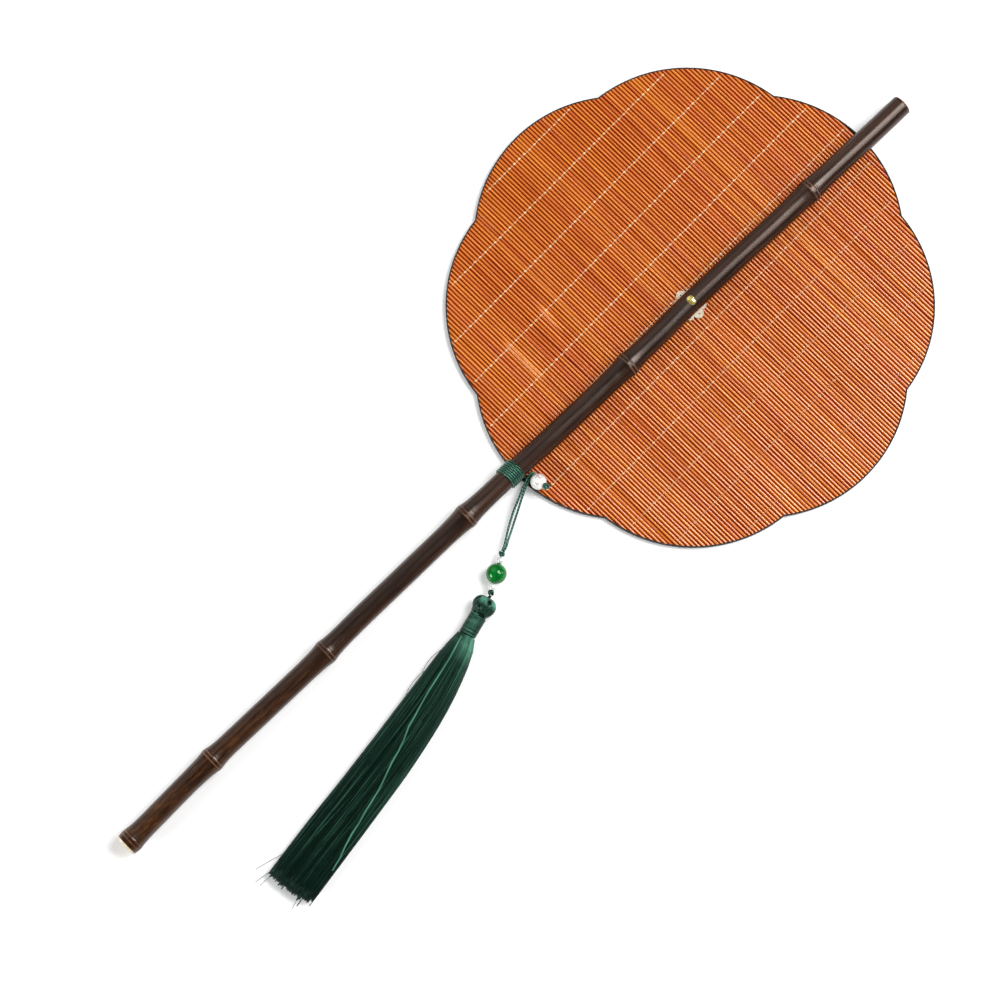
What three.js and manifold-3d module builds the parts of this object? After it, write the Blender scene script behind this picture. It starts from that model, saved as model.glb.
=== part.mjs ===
// A rigid hand fan: a scalloped mat of bamboo slats on a long bamboo handle,
// pinned at its centre, lashed at its lower rim, with a hanging silk tassel.
// Millimetres. +Y runs from the butt of the handle to its tip, +Z is the front.
// The origin is below the middle of the handle, on the table that the fan lies on.
import * as THREE from 'three';
import { mergeVertices } from 'three/addons/utils/BufferGeometryUtils.js';
import Module from 'manifold-3d';

const wasm = await Module();
wasm.setup();

// Clearances
const fitGap = 0.3; // between a piece and the piece that holds or turns against it
const mergeStep = 1e-4;

// Sides of the round shapes
const cordSides = 8;
const windingSides = 6;
const knotSides = 10;
const smallSides = 12;
const roundSides = 16;

// Finishes
const darkBamboo = { color: 0x3b2a22, roughness: 0.35 };
const slatBamboo = { color: 0xb5622c, roughness: 0.6 };
const stitchThread = { color: 0xd9b48a, roughness: 0.9 };
const rimCloth = { color: 0x1b1a1c, roughness: 0.8 };
const silver = { color: 0xc9c4b8, roughness: 0.35, metalness: 0.9 };
const brass = { color: 0xd8ae4a, roughness: 0.25, metalness: 1 };
const greenCord = { color: 0x1f6b4f, roughness: 0.7 };
const porcelain = { color: 0xf4f2ec, roughness: 0.12 };
const jade = { color: 0x0c7a35, roughness: 0.08 };
const darkSilk = { color: 0x0f4030, roughness: 0.55 };

// Bamboo handle
const handleLength = 538.9;
const handleRadius = 5.15;
const buttRadius = 6.2;
const buttChamfer = 0.5;
const nodeSwell = 1.05;
const nodeFromButt = [3.3, 59.8, 136.5, 233.2, 344.5, 473.4];
// Each station of a node: distance from its crest, share of the swell
const nodeProfile = [
  [-15, 0], [-7.5, 0.25], [-3, 0.65], [-0.6, 1], [0.2, 0.7], [1, 0.85], [3, 0.38], [8, 0],
];
const pinFromButt = 389.4;
// Each station of the handle's bend: distance from the butt, sideways offset
const handleSway = [
  [0, 1.2], [52, 0], [130, 0.4], [165, -0.2], [233, -0.4], [347, 0.6], [pinFromButt, 0], [474, 0.8],
];
const tipSway = 1.4;
const tipBoreRadius = 2.2;
const tipBoreDepth = 40;

// Panel of slats
const panelReach = 123.6;
const lobeCount = 8;
const lobeRadius = 73.1;
const panelTurn = THREE.MathUtils.degToRad(1.6);
const slatPitch = 1.8;
const slatWidth = 1.45;
const slatThickness = 1.6;
const slatCrown = 0.5; // height of the chamfered front of a slat
const slatFlat = 0.75; // width of the flat left on that front
const threadPitch = 21.45;
const threadStart = -7.15;
const threadEdge = 6; // least distance of a row from the ends of the panel
const threadWidth = 0.8;
const threadThickness = 0.25;
const threadBite = 0.15; // how far the carrying thread sinks into the slats

// Rim binding, a channel folded round the slat ends
const bindingWidth = 1.3;
const bindingWall = 0.5;
const bindingBackLip = 1.3;
const bindingFrontLip = 0.4;
const bindingStepsPerLobe = 10;

// Pin and its plates
const pinRadius = 0.75;
const pinHeadRadius = 2.6;
const pinHeadHeight = 1.5;
const pinDome = [[0.94, 0.45], [0.65, 0.83]]; // shares of the head's radius and height
const spotDepth = 0.7;
const plateReach = 9.2;
const plateThickness = 0.45;
const petalCount = 8;
const petalRadius = 3;
const piercingRadius = 0.8;
const piercingCircle = 6.5;
const washerRadius = 5.5;
const washerThickness = 0.4;
const burrRadius = 2.4;
const burrThickness = 0.35;

// Cords of the lashing
const lashCord = 0.76;
const lashPitch = 1.2;
const lashTurns = 6;
const lashStepsPerTurn = 24;
const lashLean = 1.6; // the turns climb this much from the back of the handle to the front
const lashEndAngle = THREE.MathUtils.degToRad(75);
const tieLean = 0.5;
const tieHoleRadius = 0.62;
const tieCorner = 0.5;
const tieSteps = 44;

// Button bead and its knots
const beadRadius = 4.1;
const knotProfile = [[0.7, 0.92], [1, 0.5], [0.86, 0]]; // shares of a knot's radius and half length
const hitchRadius = 1.3;
const stopperRadius = 1.1;
const hitchFromHandle = 1.6;
const hitchFromRim = 4.85;
const beadFromHitch = [5.6, 0.35];

// Hanging loop: both strands start at the hitch knot, as offsets from its centre
const loopCord = 0.86;
const leftStrand = [
  [0.14, -1.61, 0], [0.77, -3.37, 0], [1.6, -5.73, -0.1], [3.22, -9.04, -0.35],
  [5.03, -12.17, -0.7], [7.52, -17.47, -1.05], [10.02, -22.83, -1.2], [12.74, -26.83, -1],
  [15.17, -30.39, -0.5], [16.79, -33.66, 0.05], [17.49, -36.2, 0.45],
];
const rightStrand = [
  [1.26, -1.19, 0], [1.93, -2.93, 0], [2.8, -5.17, -0.1], [4.58, -8.26, -0.35],
  [6.58, -11.33, -0.7], [9.28, -16.63, -1.05], [11.78, -21.87, -1.2], [14.26, -25.87, -1],
  [16.43, -29.71, -0.5], [17.91, -33.24, 0.05], [18.61, -35.9, 0.45],
];
const loopEnd = [18.75, -37.75];

// Beads below the loop
const chainLean = THREE.MathUtils.degToRad(30.5);
const knotRadius = 1.5;
const knotHalf = 1.25;
const chainCord = 1;
const jadeRadius = 5.1;
const jadeFromKnot = 10.3;
const spacerRadius = 1.6;
const spacerEndRadius = 1.3;
const spacerLength = 2.2;
const lowerKnotFromKnot = 20.2;
const floorGap = 0.15;

// Tassel
const tasselLean = THREE.MathUtils.degToRad(15.2);
const headRadius = 5.95;
const ballRings = 9;
const neckRadius = 3.6;
const neckEnd = 16.3; // from the centre of the ball
const neckCord = 0.46;
const neckPitch = 0.9;
const neckTurns = 11.5;
const neckStepsPerTurn = 14;
const skirtFlutes = 12;
const fluteDepth = 0.05;
// Each station of the skirt: across and along from the neck's end, half width, half thickness
const skirtStations = [
  [0.1, -0.4, 4.3, 4.2], [1.6, -5, 5.8, 4.8], [3.5, -10.4, 7.6, 5], [10.2, -35.4, 10.5, 4.8],
  [16.5, -66.4, 11.9, 4.5], [21, -94.4, 12.4, 4.2], [24.7, -119.4, 12.8, 4], [29.4, -149, 12.9, 3.8],
];

// Levels and places that follow from the sizes above
const matBack = bindingBackLip;
const matFront = matBack + slatThickness;
const rimTop = matFront + bindingFrontLip;
const plateBack = matFront + threadThickness;
const handleBack = plateBack + plateThickness;
const handleZ = handleBack + handleRadius;
const pinY = pinFromButt - handleLength / 2;
const lobeCentre = panelReach - lobeRadius;
const rimLowY = pinY - panelReach;
const slatInset = bindingWall + fitGap;
const threadInset = bindingWidth + fitGap;
const handleX = swayAt(rimLowY + handleLength / 2);
const lashRadius = handleRadius + fitGap + lashCord / 2;
const spotZ = handleZ + handleRadius - spotDepth;

const group = new THREE.Group();
const panel = new THREE.Group();
panel.position.set(0, pinY, 0);
panel.rotation.z = panelTurn;
group.add(panel);

// Sideways offset of the handle's centreline at a distance from its butt
function swayAt(distance) {
  const stations = [...handleSway, [handleLength, tipSway]];
  let next = stations.findIndex(([at]) => at > distance);
  if (next === -1) next = stations.length - 1;
  if (next === 0) next = 1;
  const [from, before] = stations[next - 1];
  const [to, after] = stations[next];
  const share = THREE.MathUtils.smoothstep(distance, from, to);
  return THREE.MathUtils.lerp(before, after, share);
}

// Distance from the panel's centre to its lobed outline, moved inwards by an inset
function lobeReach(angle, inset) {
  const step = (2 * Math.PI) / lobeCount;
  const off = angle - step * Math.round(angle / step);
  const across = lobeCentre * Math.sin(off);
  return lobeCentre * Math.cos(off) + Math.sqrt((lobeRadius - inset) ** 2 - across ** 2);
}

// Half length of a straight line across the panel, at a distance from its centre
function chordHalf(distance, inset) {
  let half = 0;
  for (let lobe = 0; lobe < lobeCount; lobe += 1) {
    const angle = (2 * Math.PI * lobe) / lobeCount;
    const rise = distance - lobeCentre * Math.sin(angle);
    const square = (lobeRadius - inset) ** 2 - rise ** 2;
    if (square > 0) half = Math.max(half, lobeCentre * Math.cos(angle) + Math.sqrt(square));
  }
  return half;
}

// Merge shared corners, drop empty triangles and turn the faces outwards
function closedGeometry(source) {
  const bare = new THREE.BufferGeometry();
  bare.setAttribute('position', source.getAttribute('position'));
  bare.setIndex(source.getIndex());
  const merged = mergeVertices(bare, mergeStep);
  const position = merged.getAttribute('position');
  const corners = merged.getIndex().array;
  const index = [];
  const a = new THREE.Vector3();
  const b = new THREE.Vector3();
  const c = new THREE.Vector3();
  let volume = 0;
  for (let i = 0; i < corners.length; i += 3) {
    const [i0, i1, i2] = [corners[i], corners[i + 1], corners[i + 2]];
    if (i0 === i1 || i1 === i2 || i2 === i0) continue;
    index.push(i0, i1, i2);
    a.fromBufferAttribute(position, i0);
    b.fromBufferAttribute(position, i1);
    c.fromBufferAttribute(position, i2);
    volume += a.dot(b.cross(c));
  }
  if (volume < 0) index.reverse();
  const clean = new THREE.BufferGeometry();
  clean.setAttribute('position', position);
  clean.setIndex(index);
  return clean;
}

// Skin over rings of equally many points, closed on itself or capped at both ends
function skin(rings, endless = false) {
  const sides = rings[0].length;
  const spans = endless ? rings.length : rings.length - 1;
  const index = [];
  for (let i = 0; i < spans; i += 1) {
    const here = i * sides;
    const there = ((i + 1) % rings.length) * sides;
    for (let j = 0; j < sides; j += 1) {
      const k = (j + 1) % sides;
      index.push(here + j, here + k, there + k, here + j, there + k, there + j);
    }
  }
  const last = (rings.length - 1) * sides;
  for (let j = 1; !endless && j < sides - 1; j += 1) {
    index.push(0, j + 1, j, last, last + j, last + j + 1);
  }
  const geometry = new THREE.BufferGeometry();
  geometry.setFromPoints(rings.flat());
  geometry.setIndex(index);
  return closedGeometry(geometry);
}

// Solid of revolution about its own +Y, from pairs of radius and height
function turned(profile, segments) {
  const points = profile.map(([radius, height]) => new THREE.Vector2(radius, height));
  return closedGeometry(new THREE.LatheGeometry(points, segments));
}

// Round cord along a curve
function tube(curve, diameter, steps, sides = cordSides) {
  const section = new THREE.Shape();
  for (let i = 0; i < sides; i += 1) {
    const angle = (2 * Math.PI * i) / sides;
    const x = (diameter / 2) * Math.cos(angle);
    const y = (diameter / 2) * Math.sin(angle);
    if (i === 0) section.moveTo(x, y);
    else section.lineTo(x, y);
  }
  const settings = { steps, extrudePath: curve, bevelEnabled: false };
  return closedGeometry(new THREE.ExtrudeGeometry(section, settings));
}

function toSolid(geometry) {
  const closed = closedGeometry(geometry);
  return new wasm.Manifold(new wasm.Mesh({
    numProp: 3,
    vertProperties: new Float32Array(closed.getAttribute('position').array),
    triVerts: new Uint32Array(closed.getIndex().array),
  }));
}

function toGeometry(solid) {
  const mesh = solid.getMesh();
  const geometry = new THREE.BufferGeometry();
  geometry.setAttribute('position', new THREE.BufferAttribute(mesh.vertProperties, mesh.numProp));
  geometry.setIndex(new THREE.BufferAttribute(mesh.triVerts, 1));
  return geometry;
}

// Upright round cutter between two levels
function drill(x, y, radius, from, to, sides = smallSides) {
  const cutter = new THREE.CylinderGeometry(radius, radius, to - from, sides);
  cutter.rotateX(Math.PI / 2);
  cutter.translate(x, y, (from + to) / 2);
  return toSolid(cutter);
}

function add(name, geometry, finish, parent = group) {
  const mesh = new THREE.Mesh(geometry, new THREE.MeshStandardMaterial(finish));
  mesh.name = name;
  parent.add(mesh);
  return mesh;
}

// Lay a solid that was turned about +Y along a direction, with its own origin at a point
function lay(mesh, point, direction) {
  mesh.position.copy(point);
  mesh.quaternion.setFromUnitVectors(new THREE.Vector3(0, 1, 0), direction);
}

// Least clear distance between neighbouring turns of a winding, from points on its centreline
function windingGap(curve, turns, diameter) {
  const perTurn = 48;
  const points = curve.getPoints(Math.round(turns * perTurn));
  let least = Infinity;
  for (let i = 0; i < points.length; i += 1) {
    for (let j = i + perTurn / 2; j < points.length; j += 1) {
      least = Math.min(least, points[i].distanceTo(points[j]));
    }
  }
  return least - diameter;
}

// Helix about a line along +Y that starts at the back and runs over the front from left to right
class Winding extends THREE.Curve {
  constructor({ centre, radius, pitch, turns, lean = 0 }) {
    super();
    Object.assign(this, { centre, radius, pitch, turns, lean });
  }

  getPoint(share, target = new THREE.Vector3()) {
    const turn = share * this.turns;
    const angle = 2 * Math.PI * turn - Math.PI;
    const climb = this.pitch * turn + (this.lean * (1 + Math.cos(angle))) / 2;
    const x = this.radius * Math.sin(angle);
    const z = this.radius * Math.cos(angle);
    return target.set(x, climb, z).add(this.centre);
  }
}

// Bamboo handle with its nodes, hollow at the tip, planed flat where its nodes lie on the panel
function makeHandle() {
  const rings = [];
  for (const node of nodeFromButt) {
    for (const [offset, share] of nodeProfile) {
      const at = node + offset;
      if (at > 2 * buttChamfer) rings.push([handleRadius + nodeSwell * share, at]);
    }
  }
  const profile = [
    [0, 0],
    [buttRadius - buttChamfer, 0],
    [buttRadius, buttChamfer],
    ...rings,
    [handleRadius, handleLength - buttChamfer],
    [handleRadius - buttChamfer, handleLength],
    [tipBoreRadius, handleLength],
    [tipBoreRadius, handleLength - tipBoreDepth],
    [0, handleLength - tipBoreDepth],
  ];
  const geometry = turned(profile, roundSides);
  const position = geometry.getAttribute('position');
  for (let i = 0; i < position.count; i += 1) {
    const along = position.getY(i);
    const x = position.getX(i) + swayAt(along);
    position.setXYZ(i, x, along - handleLength / 2, position.getZ(i) + handleZ);
  }
  const bore = drill(0, pinY, pinRadius + fitGap, 0, spotZ + 2 * spotDepth);
  const spot = drill(0, pinY, pinHeadRadius + fitGap, spotZ, spotZ + 2 * spotDepth, roundSides);
  const planed = new THREE.BoxGeometry(4 * handleRadius, 2 * panelReach, handleRadius);
  planed.translate(0, pinY, plateBack + fitGap / 2 - handleRadius / 2);
  const solid = toSolid(geometry).subtract(bore).subtract(spot).subtract(toSolid(planed));
  add('bamboo_handle', toGeometry(solid), darkBamboo);
}

// One slat, its ends cut along the panel's outline
function slat(y) {
  const section = [
    [-slatWidth / 2, matBack],
    [slatWidth / 2, matBack],
    [slatWidth / 2, matFront - slatCrown],
    [slatFlat / 2, matFront],
    [-slatFlat / 2, matFront],
    [-slatWidth / 2, matFront - slatCrown],
  ];
  const ring = (side) => section.map(([across, z]) => {
    const at = y + across;
    return new THREE.Vector3(side * chordHalf(Math.abs(at), slatInset), at, z);
  });
  return toSolid(skin([ring(-1), ring(1)]));
}

// A thread across all slats at one distance from the panel's centre
function threadStrip(x, from, to) {
  const half = chordHalf(Math.abs(x) + threadWidth / 2, threadInset);
  const strip = new THREE.BoxGeometry(threadWidth, 2 * half, to - from);
  strip.translate(x, 0, (from + to) / 2);
  return strip;
}

// Mat: slats carried by the back thread beside the pin, with the other threads laid on it
function makeMat() {
  const rows = [];
  const widest = panelReach - threadEdge;
  const carrier = Math.floor((widest + threadStart) / threadPitch);
  for (let x = threadStart - carrier * threadPitch; x < widest; x += threadPitch) {
    rows.push(x);
  }
  let solid = toSolid(threadStrip(rows[carrier], matBack - threadThickness, matBack + threadBite));
  const shortest = Math.abs(rows[carrier]) + threadWidth;
  for (let y = slatPitch / 2; chordHalf(y + slatWidth / 2, slatInset) > shortest; y += slatPitch) {
    solid = solid.add(slat(y)).add(slat(-y));
  }
  solid = solid.subtract(drill(0, 0, pinRadius + fitGap, 0, rimTop));
  panel.updateMatrix();
  const toPanel = panel.matrix.clone().invert();
  for (const side of [-1, 1]) {
    const hole = new THREE.Vector3(handleX + side * lashRadius, tieY(), 0).applyMatrix4(toPanel);
    solid = solid.subtract(drill(hole.x, hole.y, tieHoleRadius, 0, rimTop, cordSides));
  }
  add('bamboo_mat', toGeometry(solid), slatBamboo, panel);
  rows.forEach((x, i) => {
    const number = String(i + 1).padStart(2, '0');
    const front = threadStrip(x, matFront, matFront + threadThickness);
    add(`front_thread_${number}`, front, stitchThread, panel);
    if (i === carrier) return;
    const back = threadStrip(x, matBack - threadThickness, matBack);
    add(`back_thread_${number}`, back, stitchThread, panel);
  });
}

// The rim tie passes through the gap between two slats, just inside the binding
function tieY() {
  const gaps = Math.floor((panelReach - bindingWidth - tieHoleRadius - fitGap) / slatPitch);
  return pinY - gaps * slatPitch;
}

function makeBinding() {
  const section = [
    [0, 0],
    [bindingWidth, 0],
    [bindingWidth, matBack],
    [bindingWall, matBack],
    [bindingWall, matFront],
    [bindingWidth, matFront],
    [bindingWidth, rimTop],
    [0, rimTop],
  ];
  const rings = [];
  const steps = lobeCount * bindingStepsPerLobe;
  for (let i = 0; i < steps; i += 1) {
    const angle = (2 * Math.PI * i) / steps;
    rings.push(section.map(([inset, z]) => {
      const reach = lobeReach(angle, inset);
      return new THREE.Vector3(reach * Math.cos(angle), reach * Math.sin(angle), z);
    }));
  }
  add('rim_binding', skin(rings, true), rimCloth, panel);
}

// Flower plate under the handle, a washer behind the mat, and the pin that holds them together
function makePin() {
  const shankHole = pinRadius + fitGap;
  const forward = new THREE.Vector3(0, 0, 1);
  const washerBack = matBack - washerThickness;
  const burrBack = washerBack - burrThickness;
  const plate = flowerPlate(shankHole);
  add('flower_plate', plate, silver).position.set(0, pinY, plateBack);
  const washer = ringPlate(shankHole, washerRadius, washerThickness);
  lay(add('back_washer', washer, silver), new THREE.Vector3(0, pinY, washerBack), forward);
  const burr = ringPlate(shankHole, burrRadius, burrThickness);
  lay(add('pin_burr', burr, brass), new THREE.Vector3(0, pinY, burrBack), forward);

  const seat = spotZ - burrBack;
  const dome = pinDome.map(([out, up]) => [pinHeadRadius * out, seat + pinHeadHeight * up]);
  const profile = [
    [0, 0],
    [pinRadius, 0],
    [pinRadius, seat],
    [pinHeadRadius, seat],
    ...dome,
    [0, seat + pinHeadHeight],
  ];
  const pin = turned(profile, smallSides);
  lay(add('brass_pin', pin, brass), new THREE.Vector3(0, pinY, burrBack), forward);
}

// Pierced plate with rounded petals, its back at its own origin
function flowerPlate(shankHole) {
  const flower = new THREE.Shape();
  const petalCentre = plateReach - petalRadius;
  const halfStep = Math.PI / petalCount;
  const across = petalCentre * Math.sin(halfStep);
  const dip = petalCentre * Math.cos(halfStep) + Math.sqrt(petalRadius ** 2 - across ** 2);
  const sweep = Math.atan2(dip * Math.sin(halfStep), dip * Math.cos(halfStep) - petalCentre);
  const bore = new THREE.Path();
  bore.absarc(0, 0, shankHole / Math.cos(Math.PI / 6), 0, 2 * Math.PI);
  flower.holes.push(bore);
  for (let i = 0; i < petalCount; i += 1) {
    const angle = 2 * halfStep * i;
    const x = Math.cos(angle);
    const y = Math.sin(angle);
    flower.absarc(petalCentre * x, petalCentre * y, petalRadius, angle - sweep, angle + sweep, false);
    const piercing = new THREE.Path();
    piercing.absarc(piercingCircle * x, piercingCircle * y, piercingRadius, 0, 2 * Math.PI);
    flower.holes.push(piercing);
  }
  const settings = { depth: plateThickness, curveSegments: 3, bevelEnabled: false };
  return closedGeometry(new THREE.ExtrudeGeometry(flower, settings));
}

// Flat ring about its own +Y
function ringPlate(inner, outer, thickness) {
  const profile = [
    [inner, 0],
    [outer, 0],
    [outer, thickness],
    [inner, thickness],
    [inner, 0],
  ];
  return turned(profile, roundSides);
}

// Barrel knot of two turns, centred on its own origin
function knot(radius, half) {
  const lower = knotProfile.map(([out, up]) => [radius * out, -half * up]);
  const upper = lower.slice(0, -1).map(([out, up]) => [out, -up]).reverse();
  return turned([[0, -half], ...lower, ...upper, [0, half]], knotSides);
}

// Bead with a bore along its own +Y
function bored(radius, bore, rings) {
  const cap = Math.acos(bore / radius);
  const profile = [];
  for (let i = 0; i <= rings; i += 1) {
    const angle = -cap + (2 * cap * i) / rings;
    profile.push([radius * Math.cos(angle), radius * Math.sin(angle)]);
  }
  profile.push(profile[0]);
  return turned(profile, roundSides);
}

// Lashing round the handle below the rim, the tie that holds the rim, and the button bead on it
function makeLashing() {
  const lowestBack = rimLowY - fitGap - lashCord;
  const turns = lashTurns - 0.5 + lashEndAngle / (2 * Math.PI);
  const start = new THREE.Vector3(handleX, lowestBack - lashPitch * (lashTurns - 1), handleZ);
  const lashing = new Winding({
    centre: start,
    radius: lashRadius,
    pitch: lashPitch,
    turns,
    lean: lashLean,
  });
  const steps = Math.round(turns * lashStepsPerTurn);
  add('handle_lashing', tube(lashing, lashCord, steps, windingSides), greenCord);
  console.log('handle_lashing least gap', windingGap(lashing, turns, lashCord).toFixed(3), 'mm');

  const tieBack = lashCord / 2 + floorGap / 2;
  const tiePoint = (x, z) => {
    const lift = THREE.MathUtils.clamp((z - handleZ) / lashRadius, 0, 1);
    return new THREE.Vector3(handleX + x, tieY() - tieLean * lift, z);
  };
  const leftHalf = [
    tiePoint(-fitGap - lashCord / 2, tieBack),
    tiePoint(-lashRadius + tieCorner, tieBack),
    tiePoint(-lashRadius + tieCorner * (1 - Math.SQRT1_2), tieBack + tieCorner * (1 - Math.SQRT1_2)),
    tiePoint(-lashRadius, tieBack + tieCorner),
    tiePoint(-lashRadius, (tieBack + handleZ) / 2),
  ];
  for (let angle = 0; angle < 90; angle += 30) {
    const turn = THREE.MathUtils.degToRad(angle);
    leftHalf.push(tiePoint(-lashRadius * Math.cos(turn), handleZ + lashRadius * Math.sin(turn)));
  }
  const rightHalf = leftHalf.map((p) => new THREE.Vector3(2 * handleX - p.x, p.y, p.z)).reverse();
  const tie = new THREE.CatmullRomCurve3([...leftHalf, tiePoint(0, handleZ + lashRadius), ...rightHalf]);
  add('rim_tie', tube(tie, lashCord, tieSteps, windingSides), greenCord);

  const hitch = hitchPoint();
  add('hitch_knot', knot(hitchRadius, hitchRadius), greenCord).position.copy(hitch);

  const bead = buttonPoint();
  const axis = bead.clone().sub(hitch).normalize();
  const toStopper = bead.distanceTo(hitch) + beadRadius + fitGap + stopperRadius;
  const from = hitch.clone().addScaledVector(axis, hitchRadius + fitGap);
  const to = hitch.clone().addScaledVector(axis, toStopper - stopperRadius - fitGap);
  add('button_cord', tube(new THREE.LineCurve3(from, to), lashCord, 4), greenCord);
  const button = bored(beadRadius, lashCord / 2 + fitGap, 10);
  lay(add('white_bead', button, porcelain), bead, axis);
  const stopper = knot(stopperRadius, stopperRadius);
  lay(add('stopper_knot', stopper, greenCord), hitch.clone().addScaledVector(axis, toStopper), axis);
}

// Centre of the knot that ties the hanging loop to the rim tie, on the front of the mat
function hitchPoint() {
  const z = plateBack + fitGap + hitchRadius;
  return new THREE.Vector3(handleX + handleRadius + hitchFromHandle, rimLowY + hitchFromRim, z);
}

function buttonPoint() {
  const hitch = hitchPoint();
  const [x, y] = beadFromHitch;
  return new THREE.Vector3(hitch.x + x, hitch.y + y, plateBack + fitGap + beadRadius);
}

// Two strands of the hanging loop, and the knots, spacers and jade bead below it
function makeChain() {
  const hitch = hitchPoint();
  const strand = (route) => {
    const points = route.map(([x, y, z]) => hitch.clone().add(new THREE.Vector3(x, y, z)));
    return new THREE.CatmullRomCurve3(points);
  };
  add('loop_strand_left', tube(strand(leftStrand), loopCord, 18), greenCord);
  add('loop_strand_right', tube(strand(rightStrand), loopCord, 18), greenCord);

  const down = new THREE.Vector3(Math.sin(chainLean), -Math.cos(chainLean), 0);
  const top = upperKnotPoint();
  const along = (distance) => top.clone().addScaledVector(down, distance);
  const bore = chainCord / 2 + fitGap;
  lay(add('upper_knot', knot(knotRadius, knotHalf), greenCord), top, down);
  const cordFrom = along(knotHalf + fitGap);
  const cordTo = along(lowerKnotFromKnot - knotHalf - fitGap);
  add('bead_cord', tube(new THREE.LineCurve3(cordFrom, cordTo), chainCord, 6), greenCord);
  lay(add('jade_bead', bored(jadeRadius, bore, 12), jade), along(jadeFromKnot), down);
  const spacerOff = Math.sqrt(jadeRadius ** 2 - bore ** 2) + spacerLength / 2 + fitGap / 2;
  const spacerProfile = [
    [bore, -spacerLength / 2],
    [spacerEndRadius, -spacerLength / 2],
    [spacerRadius, -spacerLength / 4],
    [spacerRadius, spacerLength / 4],
    [spacerEndRadius, spacerLength / 2],
    [bore, spacerLength / 2],
    [bore, -spacerLength / 2],
  ];
  const upper = add('upper_spacer', turned(spacerProfile, smallSides), silver);
  const lower = add('lower_spacer', turned(spacerProfile, smallSides), silver);
  lay(upper, along(jadeFromKnot - spacerOff), down);
  lay(lower, along(jadeFromKnot + spacerOff), down);
  lay(add('lower_knot', knot(knotRadius, knotHalf), greenCord), along(lowerKnotFromKnot), down);
}

function upperKnotPoint() {
  const hitch = hitchPoint();
  const [x, y] = loopEnd;
  return new THREE.Vector3(hitch.x + x, hitch.y + y, jadeRadius + floorGap);
}

// Ball head and neck, the winding round the neck, and the silk skirt laid on the table
function makeTassel() {
  const chainDown = new THREE.Vector3(Math.sin(chainLean), -Math.cos(chainLean), 0);
  const knotPoint = upperKnotPoint().addScaledVector(chainDown, lowerKnotFromKnot);
  const down = new THREE.Vector3(Math.sin(tasselLean), -Math.cos(tasselLean), 0);
  const knotReach = Math.hypot(knotRadius, knotHalf / 2);
  const head = knotPoint.clone().addScaledVector(down, headRadius + knotReach + fitGap);
  head.z = headRadius + floorGap;

  const neckTop = Math.sqrt(headRadius ** 2 - (neckRadius + fitGap) ** 2);
  const ballEnd = Math.asin(neckTop / headRadius);
  const profile = [];
  for (let i = 0; i <= ballRings; i += 1) {
    const angle = -Math.PI / 2 + ((ballEnd + Math.PI / 2) * i) / ballRings;
    profile.push([headRadius * Math.cos(angle), headRadius * Math.sin(angle)]);
  }
  profile[0][0] = 0;
  profile.push([neckRadius, neckTop + fitGap], [neckRadius, neckEnd], [0, neckEnd]);
  lay(add('tassel_head', turned(profile, roundSides), darkSilk), head, down);

  const windingStart = neckTop + fitGap + neckCord;
  const winding = new Winding({
    centre: new THREE.Vector3(0, windingStart, 0),
    radius: neckRadius + fitGap + neckCord / 2,
    pitch: neckPitch,
    turns: neckTurns,
  });
  const steps = Math.round(neckTurns * neckStepsPerTurn);
  lay(add('neck_winding', tube(winding, neckCord, steps, windingSides), greenCord), head, down);
  console.log('neck_winding least gap', windingGap(winding, neckTurns, neckCord).toFixed(3), 'mm');

  const neck = head.clone().addScaledVector(down, neckEnd);
  const route = skirtStations.map(([x, y]) => new THREE.Vector2(x, y));
  const rings = skirtStations.map(([x, y, halfWidth, halfThickness], i) => {
    const before = route[Math.max(i - 1, 0)];
    const after = route[Math.min(i + 1, route.length - 1)];
    const heading = after.clone().sub(before).normalize();
    const z = Math.max(halfThickness * (1 + fluteDepth) + floorGap, i === 0 ? head.z : 0);
    const ring = [];
    for (let j = 0; j < 2 * skirtFlutes; j += 1) {
      const angle = (Math.PI * j) / skirtFlutes;
      const swell = 1 + fluteDepth * (j % 2 ? -1 : 1);
      const across = halfWidth * swell * Math.cos(angle);
      const up = halfThickness * swell * Math.sin(angle);
      const sideways = new THREE.Vector3(-heading.y, heading.x, 0).multiplyScalar(across);
      ring.push(new THREE.Vector3(neck.x + x, neck.y + y, z + up).add(sideways));
    }
    return ring;
  });
  add('tassel_skirt', skin(rings), darkSilk);
}

makeHandle();
makeMat();
makeBinding();
makePin();
makeLashing();
makeChain();
makeTassel();

export default group;
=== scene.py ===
import random
from math import acos, atan, atan2, cos, exp, floor, hypot, pi, radians, sin, sqrt, tau

import bmesh
import bpy
from mathutils import Matrix, Vector, noise


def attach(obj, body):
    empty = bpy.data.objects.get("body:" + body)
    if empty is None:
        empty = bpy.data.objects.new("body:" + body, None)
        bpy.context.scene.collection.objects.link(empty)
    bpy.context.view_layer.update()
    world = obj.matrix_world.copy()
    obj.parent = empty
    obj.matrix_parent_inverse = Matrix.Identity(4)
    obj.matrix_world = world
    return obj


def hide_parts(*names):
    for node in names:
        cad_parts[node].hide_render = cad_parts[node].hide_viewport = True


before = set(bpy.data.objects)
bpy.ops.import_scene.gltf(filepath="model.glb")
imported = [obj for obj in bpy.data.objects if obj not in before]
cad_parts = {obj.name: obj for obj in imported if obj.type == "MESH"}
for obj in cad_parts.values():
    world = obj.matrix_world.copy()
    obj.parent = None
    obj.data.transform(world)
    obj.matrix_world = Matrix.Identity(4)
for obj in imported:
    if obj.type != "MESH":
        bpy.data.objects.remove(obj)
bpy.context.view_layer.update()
mm = 0.001


# small helpers
def addObject(name, data):
    made = bpy.data.objects.new(name, data)
    bpy.context.collection.objects.link(made)
    return made


def clamp(value, low=0.0, high=1.0):
    return min(high, max(low, value))


def bell(offset, width):
    return exp(-(offset / width) ** 2)


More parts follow.
